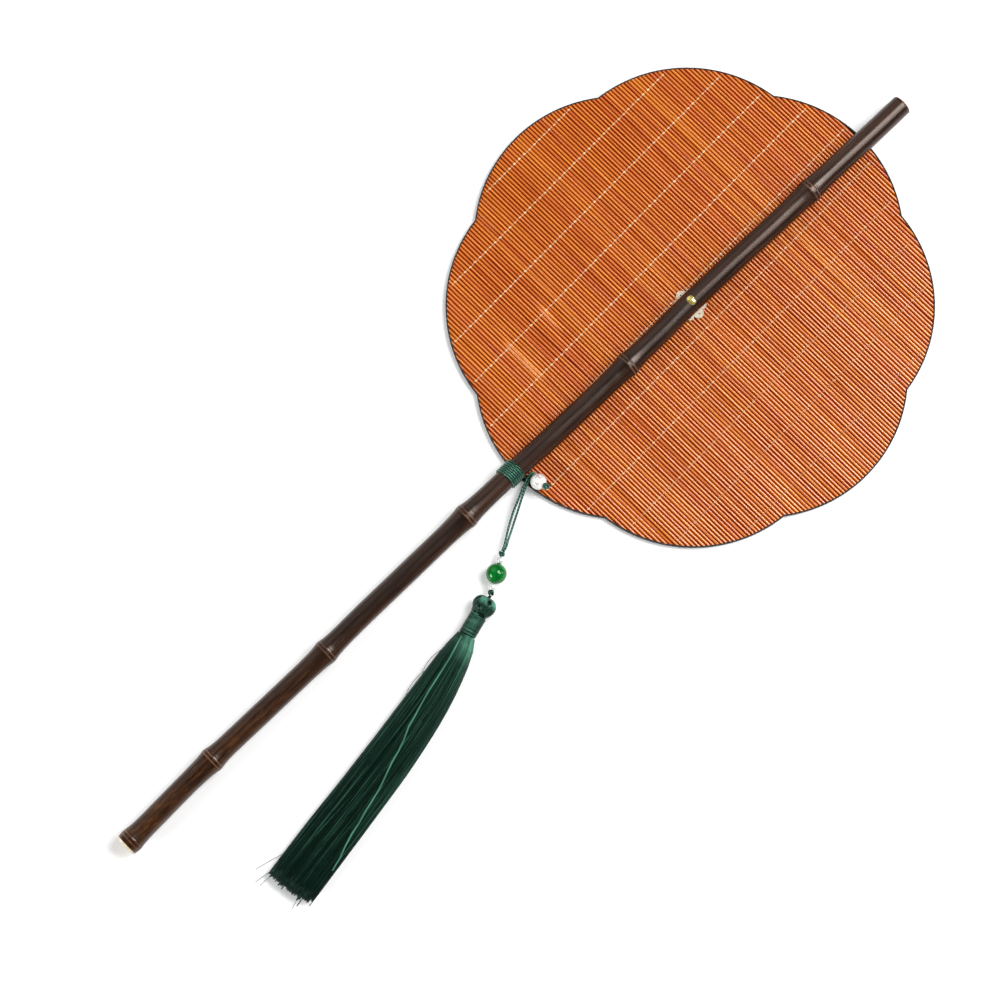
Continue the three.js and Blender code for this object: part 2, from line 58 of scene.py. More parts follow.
# camera, placed where the photograph was taken
cameraView = {
    "aim": (4.95, -18.14, 2.6), "eye": (145.3, -153.75, 1377.1), "up": (-0.7191, 0.6949, 0.0), "halfWidth": 250.0,
    "distance": 1388.3, "clipEnd": 20.0,
}


def setCamera(view):
    aim = Vector(view["aim"]) * mm
    eye = Vector(view["eye"]) * mm
    back = (eye - aim).normalized()
    right = Vector(view["up"]).cross(back).normalized()
    up = back.cross(right)
    turn = Matrix((right, up, back)).transposed().to_4x4()
    data = bpy.data.cameras.new("fanCamera")
    data.angle = 2 * atan(view["halfWidth"] / view["distance"])
    data.clip_end = view["clipEnd"]
    camera = addObject("fanCamera", data)
    camera.matrix_world = Matrix.Translation(eye) @ turn
    bpy.context.scene.camera = camera


setCamera(cameraView)


# shader helpers
def linear(colour):
    def channel(v):
        v = v / 255
        return v / 12.92 if v <= 0.04045 else ((v + 0.055) / 1.055) ** 2.4
    return tuple(channel(v) for v in colour) + (1.0,)


# inputs go by name, or by number as i0 and i1; a socket is linked, a value is set
def fillInputs(tree, node, inputs):
    for key, value in inputs.items():
        socket = node.inputs[int(key[1:])] if key[0] == "i" and key[1:].isdigit() else node.inputs[key]
        if isinstance(value, bpy.types.NodeSocket):
            tree.links.new(value, socket)
        else:
            socket.default_value = value


def addNode(tree, kind, settings=None, **inputs):
    node = tree.nodes.new(kind)
    for key, value in (settings or {}).items():
        setattr(node, key, value)
    fillInputs(tree, node, inputs)
    return node


def times(tree, first, second):
    return addNode(tree, "ShaderNodeMath", {"operation": "MULTIPLY"}, i0=first, i1=second).outputs[0]


# a colour is a socket, or red, green and blue up to 255, or a linear colour of four values
def mixColour(tree, factor, first, second):
    first, second = (linear(c) if isinstance(c, tuple) and len(c) == 3 else c for c in (first, second))
    return addNode(tree, "ShaderNodeMix", {"data_type": "RGBA"}, i0=factor, i6=first, i7=second).outputs[2]


def mapRange(tree, value, low, high, toLow=0.0, toHigh=1.0):
    node = addNode(tree, "ShaderNodeMapRange", {"clamp": True}, i0=value, i1=low, i2=high, i3=toLow, i4=toHigh)
    return node.outputs[0]


# lay a second colour over the first where a value runs from low to high
def stain(tree, colour, second, value, low, high, amount=1.0):
    return mixColour(tree, mapRange(tree, value, low, high, 0.0, amount), colour, second)


def readAttribute(tree, name):
    return addNode(tree, "ShaderNodeAttribute", {"attribute_name": name}).outputs["Fac"]


def objectPlace(tree):
    return addNode(tree, "ShaderNodeTexCoord").outputs["Object"]


def addNoise(tree, place, scale, detail, **inputs):
    return addNode(tree, "ShaderNodeTexNoise", None, Vector=place, Scale=scale, Detail=detail, **inputs).outputs["Fac"]


def startMaterial(name):
    material = bpy.data.materials.new(name)
    material.use_nodes = True
    return material, material.node_tree


def endMaterial(material, colour, bump=None, strength=0.0, distance=0.0002, **inputs):
    tree = material.node_tree
    inputs["Base Color"] = colour
    if bump is not None:
        node = addNode(tree, "ShaderNodeBump", None, Height=bump, Strength=strength, Distance=distance)
        inputs["Normal"] = node.outputs["Normal"]
    fillInputs(tree, tree.nodes["Principled BSDF"], inputs)
    return material


def startGroup(name, inputs, outputs):
    group = bpy.data.node_groups.new(name, "ShaderNodeTree")
    for socket, kind in inputs.items():
        group.interface.new_socket(socket, in_out="INPUT", socket_type=kind)
    for socket in outputs:
        group.interface.new_socket(socket, in_out="OUTPUT", socket_type="NodeSocketFloat")
    return group, addNode(group, "NodeGroupInput").outputs, addNode(group, "NodeGroupOutput").inputs


# long streaks and broad patches of bamboo fibre, drawn out along one axis by the stretch
def makeFibreGroup():
    sockets = {"Place": "NodeSocketVector", "Stretch": "NodeSocketVector"}
    group, given, out = startGroup("bambooFibre", sockets, ["Streaks", "Patches"])
    drawn = addNode(group, "ShaderNodeVectorMath", {"operation": "MULTIPLY"}, i0=given[0], i1=given[1]).outputs[0]
    group.links.new(addNoise(group, drawn, 1.0, 5.0, Roughness=0.65), out[0])
    group.links.new(addNoise(group, drawn, 0.22, 2.0, Roughness=0.5), out[1])
    return group


# fine hairs of twisted yarn, for cords, floss and stitches
def makeYarnGroup():
    sockets = {"Place": "NodeSocketVector", "Hairs per metre": "NodeSocketFloat"}
    group, given, out = startGroup("yarnHairs", sockets, ["Hairs"])
    group.links.new(addNoise(group, given[0], given[1], 4.0, Roughness=0.7), out[0])
    return group


fibreGroup = makeFibreGroup()
yarnGroup = makeYarnGroup()


def placeGroup(tree, group, setting):
    return addNode(tree, "ShaderNodeGroup", {"node_tree": group}, i0=objectPlace(tree), i1=setting).outputs


# finishes
def makeDarkBamboo():
    material, tree = startMaterial("darkBamboo")
    streaks, patches = placeGroup(tree, fibreGroup, (420.0, 26.0, 420.0))
    flecks, clouds = placeGroup(tree, fibreGroup, (950.0, 150.0, 950.0))  # short flecks, which show near the butt
    along = addNode(tree, "ShaderNodeSeparateXYZ", None, Vector=objectPlace(tree)).outputs["Y"]
    toButt = mapRange(tree, along, 0.0, -0.25)
    dark = mixColour(tree, toButt, (28, 12, 6), (36, 17, 7))
    pale = mixColour(tree, toButt, (60, 36, 24), (64, 37, 16))
    colour = stain(tree, dark, pale, streaks, 0.4, 0.66)
    ochre = times(tree, mapRange(tree, flecks, 0.5, 0.68, 0.0, 0.5), toButt)
    colour = mixColour(tree, ochre, colour, (112, 68, 26))
    soot = times(tree, mapRange(tree, flecks, 0.46, 0.32, 0.0, 0.65), toButt)
    colour = mixColour(tree, soot, colour, (18, 9, 5))
    colour = stain(tree, colour, (22, 11, 8), patches, 0.46, 0.3, 0.8)
    scar = times(tree, readAttribute(tree, "ring"), mapRange(tree, clouds, 0.38, 0.58, 0.3, 1.0))
    colour = mixColour(tree, scar, colour, (152, 106, 78))
    colour = mixColour(tree, readAttribute(tree, "groove"), colour, (26, 10, 7))
    return endMaterial(material, colour, streaks, 0.15, **{
        "Roughness": mapRange(tree, streaks, 0.3, 0.75, 0.25, 0.34), "Specular IOR Level": 0.5,
        "Specular Tint": (1.0, 0.84, 0.75, 1.0)})


def makeSawnBamboo():
    material, tree = startMaterial("sawnBamboo")
    place = objectPlace(tree)
    pores = addNode(tree, "ShaderNodeTexVoronoi", None, Vector=place, Scale=1500.0).outputs["Distance"]
    colour = stain(tree, (152, 124, 90), (218, 200, 168), pores, 0.1, 0.4)
    colour = stain(tree, colour, (236, 224, 200), addNoise(tree, place, 400.0, 4.0), 0.4, 0.7)
    return endMaterial(material, colour, pores, 0.3, Roughness=0.75)


def makeSlatBamboo():
    material, tree = startMaterial("slatBamboo")
    streaks, patches = placeGroup(tree, fibreGroup, (60.0, 900.0, 900.0))
    tone = readAttribute(tree, "tone")
    side = readAttribute(tree, "side")
    crest = mixColour(tree, tone, (202, 90, 14), (246, 162, 56))
    flank = mixColour(tree, tone, (172, 60, 0), (216, 112, 14))
    # painted highlight on the crest of each slat, going over into the flank
    colour = stain(tree, crest, flank, side, 0.08, 0.42)
    colour = stain(tree, colour, (164, 58, 0), streaks, 0.44, 0.68, 0.5)
    colour = stain(tree, colour, (214, 100, 40), patches, 0.54, 0.7, 0.4)
    colour = stain(tree, colour, (216, 122, 24), patches, 0.46, 0.32, 0.5)
    colour = stain(tree, colour, (120, 32, 0), side, 0.5, 0.9)  # painted shade between the slats
    return endMaterial(material, colour, streaks, 0.25, **{
        "Roughness": mapRange(tree, streaks, 0.3, 0.7, 0.42, 0.6), "Specular IOR Level": 0.04,
        "Coat Weight": mapRange(tree, side, 0.15, 0.55, 1.0, 0.0), "Coat Roughness": 0.27, "Coat IOR": 1.95})


def makeYarnFinish(name, dark, light, glow, scale, strength, **inputs):
    material, tree = startMaterial(name)
    hairs = placeGroup(tree, yarnGroup, scale)[0]
    # the shadow colour is painted shade, laid where the paintedShade layer is set; the glow colour, laid by the tone
    # layer, is a painted highlight on the green cords and the floss
    shadow = tuple(0.35 * v for v in linear(dark)[:3]) + (1.0,)
    colour = stain(tree, dark, light, hairs, 0.35, 0.68)
    colour = mixColour(tree, readAttribute(tree, "tone"), colour, glow)
    colour = mixColour(tree, readAttribute(tree, "paintedShade"), colour, shadow)
    return endMaterial(material, colour, hairs, strength, 0.00015, **inputs)


def makeRimCloth():
    material, tree = startMaterial("rimCloth")
    place = objectPlace(tree)
    threads = addNoise(tree, place, 1400.0, 3.0)
    colour = stain(tree, (14, 13, 15), (44, 42, 44), threads, 0.4, 0.7)
    colour = stain(tree, colour, (36, 30, 28), addNoise(tree, place, 60.0, 2.0), 0.55, 0.8)
    return endMaterial(material, colour, threads, 0.6, **{"Roughness": 0.85, "Sheen Weight": 0.15})


def makeMetal(name, base, worn, roughness, scale, metallic):
    material, tree = startMaterial(name)
    wear = addNoise(tree, objectPlace(tree), scale, 5.0)
    rubbed = mapRange(tree, wear, 0.3, 0.75, roughness * 0.7, roughness * 1.5)
    colour = stain(tree, base, worn, wear, 0.42, 0.7)
    return endMaterial(material, colour, wear, 0.12, Metallic=metallic, Roughness=rubbed)


def makePorcelain():
    material, tree = startMaterial("whitePorcelain")
    cloud = addNoise(tree, objectPlace(tree), 430.0, 3.0, Distortion=0.8)
    colour = stain(tree, (246, 245, 242), (168, 148, 146), cloud, 0.54, 0.63, 0.75)
    return endMaterial(material, colour, cloud, 0.05, **{
        "Roughness": 0.14, "Coat Weight": 0.8, "Coat Roughness": 0.05})


def makeJade():
    material, tree = startMaterial("greenJade")
    place = objectPlace(tree)
    cloud = addNoise(tree, place, 240.0, 5.0, Distortion=0.6)
    colour = stain(tree, (0, 88, 30), (0, 130, 40), cloud, 0.38, 0.66)
    colour = stain(tree, colour, (26, 140, 64), addNoise(tree, place, 700.0, 3.0), 0.6, 0.8, 0.6)
    return endMaterial(material, colour, **{
        "Roughness": mapRange(tree, cloud, 0.3, 0.7, 0.06, 0.13), "IOR": 1.5, "Specular IOR Level": 0.4})


darkBamboo = makeDarkBamboo()
sawnBamboo = makeSawnBamboo()
slatBamboo = makeSlatBamboo()
stitchThread = makeYarnFinish("stitchThread", (186, 108, 52), (222, 152, 94), (248, 218, 176), 2600.0, 0.5,
                              Roughness=0.8)
rimCloth = makeRimCloth()
plateSilver = makeMetal("plateSilver", (188, 172, 148), (234, 224, 206), 0.5, 1500.0, 0.35)
polishedBrass = makeMetal("polishedBrass", (236, 212, 112), (252, 240, 176), 0.16, 500.0, 0.75)
spacerSilver = makeMetal("spacerSilver", (222, 222, 220), (246, 246, 244), 0.3, 700.0, 0.35)
silkTint = (0.5, 1.0, 0.82, 1.0)
greenCord = makeYarnFinish("greenCord", (2, 36, 25), (16, 72, 53), (110, 160, 138), 2200.0, 0.2, **{
    "Roughness": 0.27, "Specular IOR Level": 1.0, "Specular Tint": silkTint})
floss = makeYarnFinish("flossSilk", (0, 8, 5), (10, 34, 24), (112, 186, 156), 1800.0, 0.2, **{
    "Roughness": 0.34, "Specular IOR Level": 0.28, "Specular Tint": silkTint})
porcelain = makePorcelain()
jade = makeJade()
print("finishes made")


# piece helpers
mergeDistance = 1e-4


def meshFrom(bm, name):
    mesh = bpy.data.meshes.new(name)
    bm.to_mesh(mesh)
    bm.free()
    return mesh


def finishPiece(bm, name, materials, body, nodes):
    bmesh.ops.recalc_face_normals(bm, faces=bm.faces[:])
    bmesh.ops.scale(bm, vec=(mm, mm, mm), verts=bm.verts[:])
    mesh = meshFrom(bm, name)
    for material in materials:
        mesh.materials.append(material)
    mesh.shade_smooth()
    piece = addObject(name, mesh)
    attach(piece, body)
    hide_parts(*nodes)
    return piece


def finishCord(bm, name, body, node):
    return finishPiece(bm, name, [greenCord], body, [node])


def floatLayer(bm, name):
    layers = bm.verts.layers.float
    return layers.get(name) or layers.new(name)


def addCopy(bm, shape):
    before = len(bm.verts)
    bm.from_mesh(shape)
    bm.verts.ensure_lookup_table()
    return bm.verts[before:]


def closeEnds(bm):
    bmesh.ops.holes_fill(bm, edges=[e for e in bm.edges if e.is_boundary], sides=0)


def spinProfile(bm, profile, steps):
    verts = [bm.verts.new((radius, along, 0.0)) for radius, along in profile]
    edges = [bm.edges.new(pair) for pair in zip(verts, verts[1:])]
    bmesh.ops.spin(bm, geom=verts + edges, cent=(0, 0, 0), axis=(0, 1, 0), angle=tau, steps=steps, use_merge=True)
    bmesh.ops.remove_doubles(bm, verts=bm.verts[:], dist=mergeDistance)


def layAlong(bm, point, direction):
    turn = Vector((0, 1, 0)).rotation_difference(Vector(direction)).to_matrix().to_4x4()
    bmesh.ops.transform(bm, matrix=Matrix.Translation(point) @ turn, verts=bm.verts[:])


# smooth curve from b to c, with a before them and d after them
def curveAt(a, b, c, d, t):
    return (2 * b + (c - a) * t + (2 * a - 5 * b + 4 * c - d) * t * t + (3 * b - a - 3 * c + d) * t ** 3) / 2


def smoothPath(points, step):
    points = [Vector(p) for p in points]
    ends = [2 * points[0] - points[1]] + points + [2 * points[-1] - points[-2]]
    dense = []
    for i in range(1, len(ends) - 2):
        count = max(1, round((ends[i + 1] - ends[i]).length / step))
        dense += [curveAt(*ends[i - 1:i + 3], k / count) for k in range(count)]
    dense.append(points[-1])
    return dense


def pathLength(path):
    return sum((b - a).length for a, b in zip(path, path[1:]))


def readStations(stations, at):
    for (start, before), (end, after) in zip(stations, stations[1:]):
        if at <= end:
            t = clamp((at - start) / (end - start))
            return before + (after - before) * t * t * (3 - 2 * t)
    return stations[-1][1]


cordShade = {"creaseReach": 2.2, "edgePower": 6}


# twisted plies along a path: depth is the groove between them; painted shade goes into the grooves, and edge paints
# shade on the two sides
def sweepCord(bm, path, width, thickness, twist, plies=2, sides=12, outward=None, depth=0.2, closed=False,
              tone=0.0, tones=None, edge=0.0):
    rings = path + path[:1] if closed else path
    spans = len(rings) - 1
    if closed:  # whole turns, so that the ends meet
        total = pathLength(rings)
        twist = total * plies / max(1, round(total * plies / twist))
    stations = []
    normal = None
    run = 0.0
    for i, point in enumerate(rings):
        before = rings[i - 1] if i else (rings[-2] if closed else rings[0])
        after = rings[i + 1] if i < spans else (rings[1] if closed else rings[-1])
        tangent = (after - before).normalized()
        if outward:
            normal = outward(point)
        elif normal is None:
            normal = tangent.orthogonal()
        normal = (normal - tangent * normal.dot(tangent)).normalized()
        if i:
            run += (point - rings[i - 1]).length
        stations.append((point, tangent.cross(normal), normal, tau * run / twist))
    paintedShade = floatLayer(bm, "paintedShade")
    toneLayer = floatLayer(bm, "tone")
    made = bmesh.ops.create_grid(bm, x_segments=spans, y_segments=sides, size=1.0)["verts"]
    for v in made:
        k = round((v.co.x + 1) / 2 * spans)
        point, side, normal, turned = stations[k]
        angle = pi * (v.co.y + 1)
        lobe = abs(cos(plies * (angle - turned) / 2))
        swell = 1 - depth * (1 - lobe)
        groove = 1 - lobe * cordShade["creaseReach"] if depth else 0.0
        v.co = point + side * (cos(angle) * width / 2 * swell) + normal * (sin(angle) * thickness / 2 * swell)
        # painted shade in the grooves between the plies and on the two sides of the cord
        v[paintedShade] = max(edge * abs(cos(angle)) ** cordShade["edgePower"], groove)
        v[toneLayer] = tones[k % len(path)] if tones else tone
    bmesh.ops.remove_doubles(bm, verts=made, dist=mergeDistance)
    closeEnds(bm)


def sweepRound(bm, path, cord, twist, **more):
    sweepCord(bm, path, cord, cord, twist, **more)


knotSettings = {"radius": 1.8, "cord": 1.15, "twist": 2.6, "squeeze": 1.9, "steps": 96}


# a cord knotted as a trefoil, squeezed along Y
def sweepKnot(bm, radius, squeeze, cord, twist, **more):
    path = []
    for i in range(knotSettings["steps"]):
        t = tau * i / knotSettings["steps"]
        x = sin(t) + 2 * sin(2 * t)
        y = cos(t) - 2 * cos(2 * t)
        path.append(Vector((x / 3, -sin(3 * t) / 3 * squeeze, y / 3)) * radius)
    sweepRound(bm, path, cord, twist, outward=Vector.normalized, closed=True, **more)


# pendant cords come first: their routes keep to those of the solids
knots = {
    "hitch": Vector((6.551, 1.2, 4.75)),
    "upper": Vector((25.301, -36.55, 5.25)),
    "lower": Vector((35.553, -53.955, 5.25)),
    "jade": Vector((30.528, -45.425, 5.25)),
    "button": Vector((12.151, 1.55, 7.55)),
    "head": Vector((38.158, -61.407, 6.1)),
}
chainAim = Vector((0.50754, -0.86163, 0.0))
tasselAim = Vector((0.26219, -0.96502, 0.0))
buttonAim = Vector((0.89303, 0.05581, 0.44652))

loopCords = {
    "width": 1.25, "twist": 3.2, "step": 0.22, "shine": 0.3, "shineReach": 14.0,
    "left": [
        (0.1, -1.5, 0), (0.97, -4.17, -0.05), (2.57, -7.92, -0.25), (4.48, -12.22, -0.65), (6.8, -17.5, -1.0),
        (9.4, -22.5, -1.15), (12.2, -27.2, -1.0), (14.9, -31.3, -0.5), (16.7, -34.2, 0.05), (17.75, -36.55, 0.4),
    ],
    "right": [
        (1.3, -1.1, 0), (2.13, -3.83, -0.05), (3.73, -7.48, -0.25), (5.82, -11.68, -0.65), (8.6, -16.7, -1.0),
        (11.2, -21.6, -1.15), (13.7, -26.3, -1.0), (16.0, -30.7, -0.5), (17.75, -33.6, 0.05), (18.6, -36.2, 0.4),
    ],
}


def makeLoopCord(side):
    s = loopCords
    path = smoothPath([knots["hitch"] + Vector(p) for p in s[side]], s["step"])
    bm = bmesh.new()
    # painted highlight on the cords near the hitch, fading along them
    shades = [s["shine"] * max(0.0, 1 - (p - path[0]).length / s["shineReach"]) for p in path]
    sweepRound(bm, path, s["width"], s["twist"], tones=shades)
    piece = finishCord(bm, "loopCord_" + side, "hanging_loop", "loop_strand_" + side)
    return piece, [tuple(p * mm) for p in path], pathLength(path) * mm


def makeKnot(name, point, node):
    s = knotSettings
    bm = bmesh.new()
    sweepKnot(bm, s["radius"] - s["cord"] / 2, s["squeeze"], s["cord"], s["twist"])
    layAlong(bm, point, chainAim)
    return finishCord(bm, name, "bead_chain", node)


upperKnot = makeKnot("upperKnot", knots["upper"], "upper_knot")
lowerKnot = makeKnot("lowerKnot", knots["lower"], "lower_knot")
leftCord, leftRoute, leftLength = makeLoopCord("left")
rightCord, rightRoute, rightLength = makeLoopCord("right")

beadCordSettings = {"cord": 1.0, "twist": 2.6, "step": 0.3}
inKnot = chainAim * 0.9


def makeStraightCord(name, s, points, body, node):
    bm = bmesh.new()
    sweepRound(bm, smoothPath(points, s["step"]), s["cord"], s["twist"])
    return finishCord(bm, name, body, node)


beadRoute = [knots["upper"] + inKnot, knots["jade"], knots["lower"] - inKnot]
beadCord = makeStraightCord("beadCord", beadCordSettings, beadRoute, "bead_chain", "bead_cord")
print("pendant cords laid")


# beads
jadeBead = {"radius": 5.2, "bore": 0.75, "rings": 28, "steps": 48}
whiteBead = {"radius": 4.1, "bore": 0.62, "rings": 26, "steps": 48}
spacerBead = {"radius": 1.85, "endRadius": 1.45, "bore": 0.75, "length": 3.3, "offset": 6.9, "steps": 32}


def makeTurned(name, profile, steps, point, aim, material, body, slot, node):
    bm = bmesh.new()
    spinProfile(bm, profile + profile[:1], steps)
    layAlong(bm, point, aim)
    finishPiece(bm, name, [material], body, [node])


def makeBead(name, s, *rest):
    cap = acos(s["bore"] / s["radius"])
    angles = [-cap + 2 * cap * i / s["rings"] for i in range(s["rings"] + 1)]
    profile = [(s["radius"] * cos(angle), s["radius"] * sin(angle)) for angle in angles]
    makeTurned(name, profile, s["steps"], *rest)


def makeSpacer(name, point, node):
    s = spacerBead
    half = s["length"] / 2
    lower = [
        (s["bore"], -half), (s["endRadius"] * 0.85, -half), (s["endRadius"], -half * 0.9),
        (s["endRadius"], -half * 0.7), (s["radius"] * 0.92, -half * 0.6), (s["radius"], -half * 0.3),
    ]
    upper = [(out, -along) for out, along in reversed(lower)]
    makeTurned(name, lower + upper, s["steps"], point, chainAim, spacerSilver, "jade_beads", "spacer_metal", node)


makeBead("jadeBead", jadeBead, knots["jade"], chainAim, jade, "jade_beads", "jade", "jade_bead")
makeBead("buttonBead", whiteBead, knots["button"], buttonAim, porcelain, "white_bead_body", "white_porcelain",
         "white_bead")
makeSpacer("upperSpacer", knots["jade"] - chainAim * spacerBead["offset"], "upper_spacer")
makeSpacer("lowerSpacer", knots["jade"] + chainAim * spacerBead["offset"], "lower_spacer")

buttonCordSettings = {"cord": 0.76, "twist": 2.4, "fromHitch": 1.2, "pastBead": 0.6, "step": 0.3}
stopperSettings = {
    "place": (4.5, 0.85, 2.7), "radius": 2.05, "cord": 1.3, "squeeze": 1.5, "tone": 0.12,
    "tail": [(0.6, 0.9, 0.1), (1.3, 1.6, -0.1), (1.9, 2.1, -0.5)], "tailCord": 0.75, "tailTwist": 2.4,
}
hitchSettings = {
    "knot": 0.7, "cord": 0.8, "squeeze": 2.4, "twist": 2.4, "place": (0.4, 0.2, -0.5),
    "bight": [
        (0.1, -1.2, 0.1), (-0.2, 0.2, 0.5), (-0.1, 1.6, 0.55), (0.45, 2.35, 0.35), (0.95, 1.7, 0.4),
        (1.0, 0.3, 0.4), (1.3, -0.9, 0.05),
    ],
}
shortStep = 0.2  # along the short cords of the knots


def makeStopper():
    s = stopperSettings
    aim = Vector(s["place"])
    bm = bmesh.new()
    sweepKnot(bm, s["radius"] - s["cord"] / 2, s["squeeze"], s["cord"], knotSettings["twist"], tone=s["tone"])
    layAlong(bm, (0, 0, 0), aim)
    sweepRound(bm, smoothPath(s["tail"], shortStep), s["tailCord"], s["tailTwist"])
    bmesh.ops.translate(bm, verts=bm.verts[:], vec=knots["button"] + aim)
    finishCord(bm, "stopperKnot", "fan", "stopper_knot")


# the loop is taken round itself: a knot with the bight of the cord over it
def makeHitch():
    s = hitchSettings
    bm = bmesh.new()
    sweepKnot(bm, s["knot"], s["squeeze"], s["cord"], s["twist"])
    bmesh.ops.translate(bm, verts=bm.verts[:], vec=s["place"])
    bight = smoothPath(s["bight"], shortStep)
    # the bight carries the same painted highlight
    sweepRound(bm, bight, loopCords["width"], loopCords["twist"], tone=loopCords["shine"])
    bmesh.ops.translate(bm, verts=bm.verts[:], vec=knots["hitch"])
    finishCord(bm, "hitchKnot", "fan", "hitch_knot")


buttonStart = knots["hitch"] + buttonAim * buttonCordSettings["fromHitch"]
buttonEnd = knots["button"] + buttonAim * (whiteBead["radius"] + buttonCordSettings["pastBead"])
makeStraightCord("buttonCord", buttonCordSettings, [buttonStart, knots["button"], buttonEnd], "fan", "button_cord")
makeStopper()
makeHitch()
print("beads and knots made")


# handle of dark bamboo
handleSettings = {
    "length": 538.9,
    "girth": [(0, 5.45), (235, 5.45), (255, 5.25), (270, 5.25), (290, 5.5), (538.9, 5.5)],
    "axisHeight": 8.75,
    "nodes": [(4.6, 0.85), (59.8, 1.0), (136.5, 1.0), (233.2, 1.05), (344.5, 1.05), (473.4, 1.0)],
    "sway": [
        (0, 1.2), (52, 0.0), (130, 0.4), (165, -0.2), (225, -0.25), (262, -0.1), (295, 0.7), (318, 0.85),
        (362, 0.65), (389.4, 0.0), (416, 0.2), (452, 0.8), (538.9, 1.6),
    ],
    "planedTo": 3.6, "planedFrom": -3.65,
    "butt": [(0.0, 0.4), (2.4, 0.25), (4.6, 0.0), (5.35, 0.2), (5.85, 0.6)],
    "firstRing": 1.3,
    "lastRing": 0.8,  # from the tip
    "ringStep": 5.0, "nodeStep": 0.22,
    "tipWall": [(0.0, 0.7), (0.12, 0.4), (0.5, 0.0)],  # inset, and distance from the tip
    "tipFace": 3.4, "bore": 2.2,
    "boreWall": [(0.2, 0.05), (0.0, 0.4), (0.0, 12.0), (0.0, 40.0)],
    "sawnButt": 1.2, "sawnTip": 0.45, "wobble": 0.018, "steps": 64,
}
nodeShape = [
    (-15, 0), (-12, 0.1), (-7.5, 0.25), (-5, 0.42), (-3, 0.65), (-1.5, 0.9), (-0.5, 1), (0.2, 0.95), (1, 0.86),
    (2, 0.65), (3.2, 0.46), (4.5, 0.3), (7, 0.12), (10, 0.03), (13, 0),
]
# offset, half width and strength of the two scars of a node, and of the dark lines beside them
ringLines = [(-0.95, 0.26, 0.75), (0.95, 0.24, 0.7)]
grooves = [(0.0, 0.5, 0.75), (-1.7, 0.3, 0.5), (1.75, 0.3, 0.6)]
ringSwell = 0.07


def nodeSwell(along):
    swell = 0.0
    for node, height in handleSettings["nodes"]:
        off = along - node
        if nodeShape[0][0] < off < nodeShape[-1][0]:
            share = readStations(nodeShape, off)
            for at, width, _ in ringLines:
                share += ringSwell * bell(off - at, width)
            swell = max(swell, height * share)
    return swell


def handleProfile():
    s = handleSettings
    end = s["length"]
    stations = {s["firstRing"]}
    stations.update(1.5 + s["ringStep"] * k for k in range(1, int(end / s["ringStep"]) + 1))
    for node, _ in s["nodes"]:
        stations.update(node + s["nodeStep"] * k for k in range(-12, 13))
        stations.update(node + off for off, _ in nodeShape)
    outer = sorted({round(at, 2) for at in stations if s["firstRing"] <= at < end - s["lastRing"]})
    girth = s["girth"][-1][1]
    profile = s["butt"] + [(readStations(s["girth"], at) + nodeSwell(at), at) for at in outer]
    profile += [(girth - inset, end - back) for inset, back in s["tipWall"]] + [(s["tipFace"], end)]
    profile += [(s["bore"] + out, end - back) for out, back in s["boreWall"]]
    return profile + [(0.0, profile[-1][1])]


def makeHandle():
    s = handleSettings
    end = s["length"]
    bm = bmesh.new()
    spinProfile(bm, handleProfile(), s["steps"])
    ring = floatLayer(bm, "ring")
    groove = floatLayer(bm, "groove")
    for face in bm.faces:  # the sawn ends are pale
        centre = face.calc_center_median()
        onTip = centre.y > end - s["sawnTip"] and hypot(centre.x, centre.z) > s["bore"]
        face.material_index = 1 if centre.y < s["sawnButt"] or onTip else 0
    for v in bm.verts:
        along = v.co.y
        for node, _ in s["nodes"]:
            for layer, lines in ((ring, ringLines), (groove, grooves)):
                for at, width, strength in lines:
                    v[layer] = max(v[layer], strength * bell(along - node - at, width))
        if hypot(v.co.x, v.co.z) > s["bore"] + 0.5:
            wobble = noise.noise(Vector((v.co.x * 0.12, along * 0.012, v.co.z * 0.12)))
            v.co.x *= 1 + s["wobble"] * wobble
            v.co.z *= 1 + s["wobble"] * wobble
        v.co.x += readStations(s["sway"], along)
        v.co.y = along - end / 2
        v.co.z += s["axisHeight"]
        if v.co.y > s["planedFrom"] and v.co.z < s["planedTo"]:
            v.co.z = s["planedTo"]
    finishPiece(bm, "bambooHandle", [darkBamboo, sawnBamboo], "fan", ["bamboo_handle"])


makeHandle()
print("handle turned")


# panel of slats
panelSettings = {
    "centre": (0.05, 120.2, 0.0), "turn": radians(1.6), "reach": 123.6, "lobes": 8, "lobeRadius": 73.1,
    "matBack": 1.3, "matFront": 2.9, "rimTop": 3.3, "slatInset": 0.35,
}
panelPlace = Matrix.Translation(panelSettings["centre"]) @ Matrix.Rotation(panelSettings["turn"], 4, "Z")


def lobeReach(angle, inset):
    s = panelSettings
    step = tau / s["lobes"]
    off = angle - step * round(angle / step)
    centre = s["reach"] - s["lobeRadius"]
    return centre * cos(off) + sqrt((s["lobeRadius"] - inset) ** 2 - (centre * sin(off)) ** 2)


def chordHalf(distance, inset):
    s = panelSettings
    centre = s["reach"] - s["lobeRadius"]
    half = 0.0
    for lobe in range(s["lobes"]):
        angle = tau * lobe / s["lobes"]
        square = (s["lobeRadius"] - inset) ** 2 - (distance - centre * sin(angle)) ** 2
        if square > 0:
            half = max(half, centre * cos(angle) + sqrt(square))
    return half


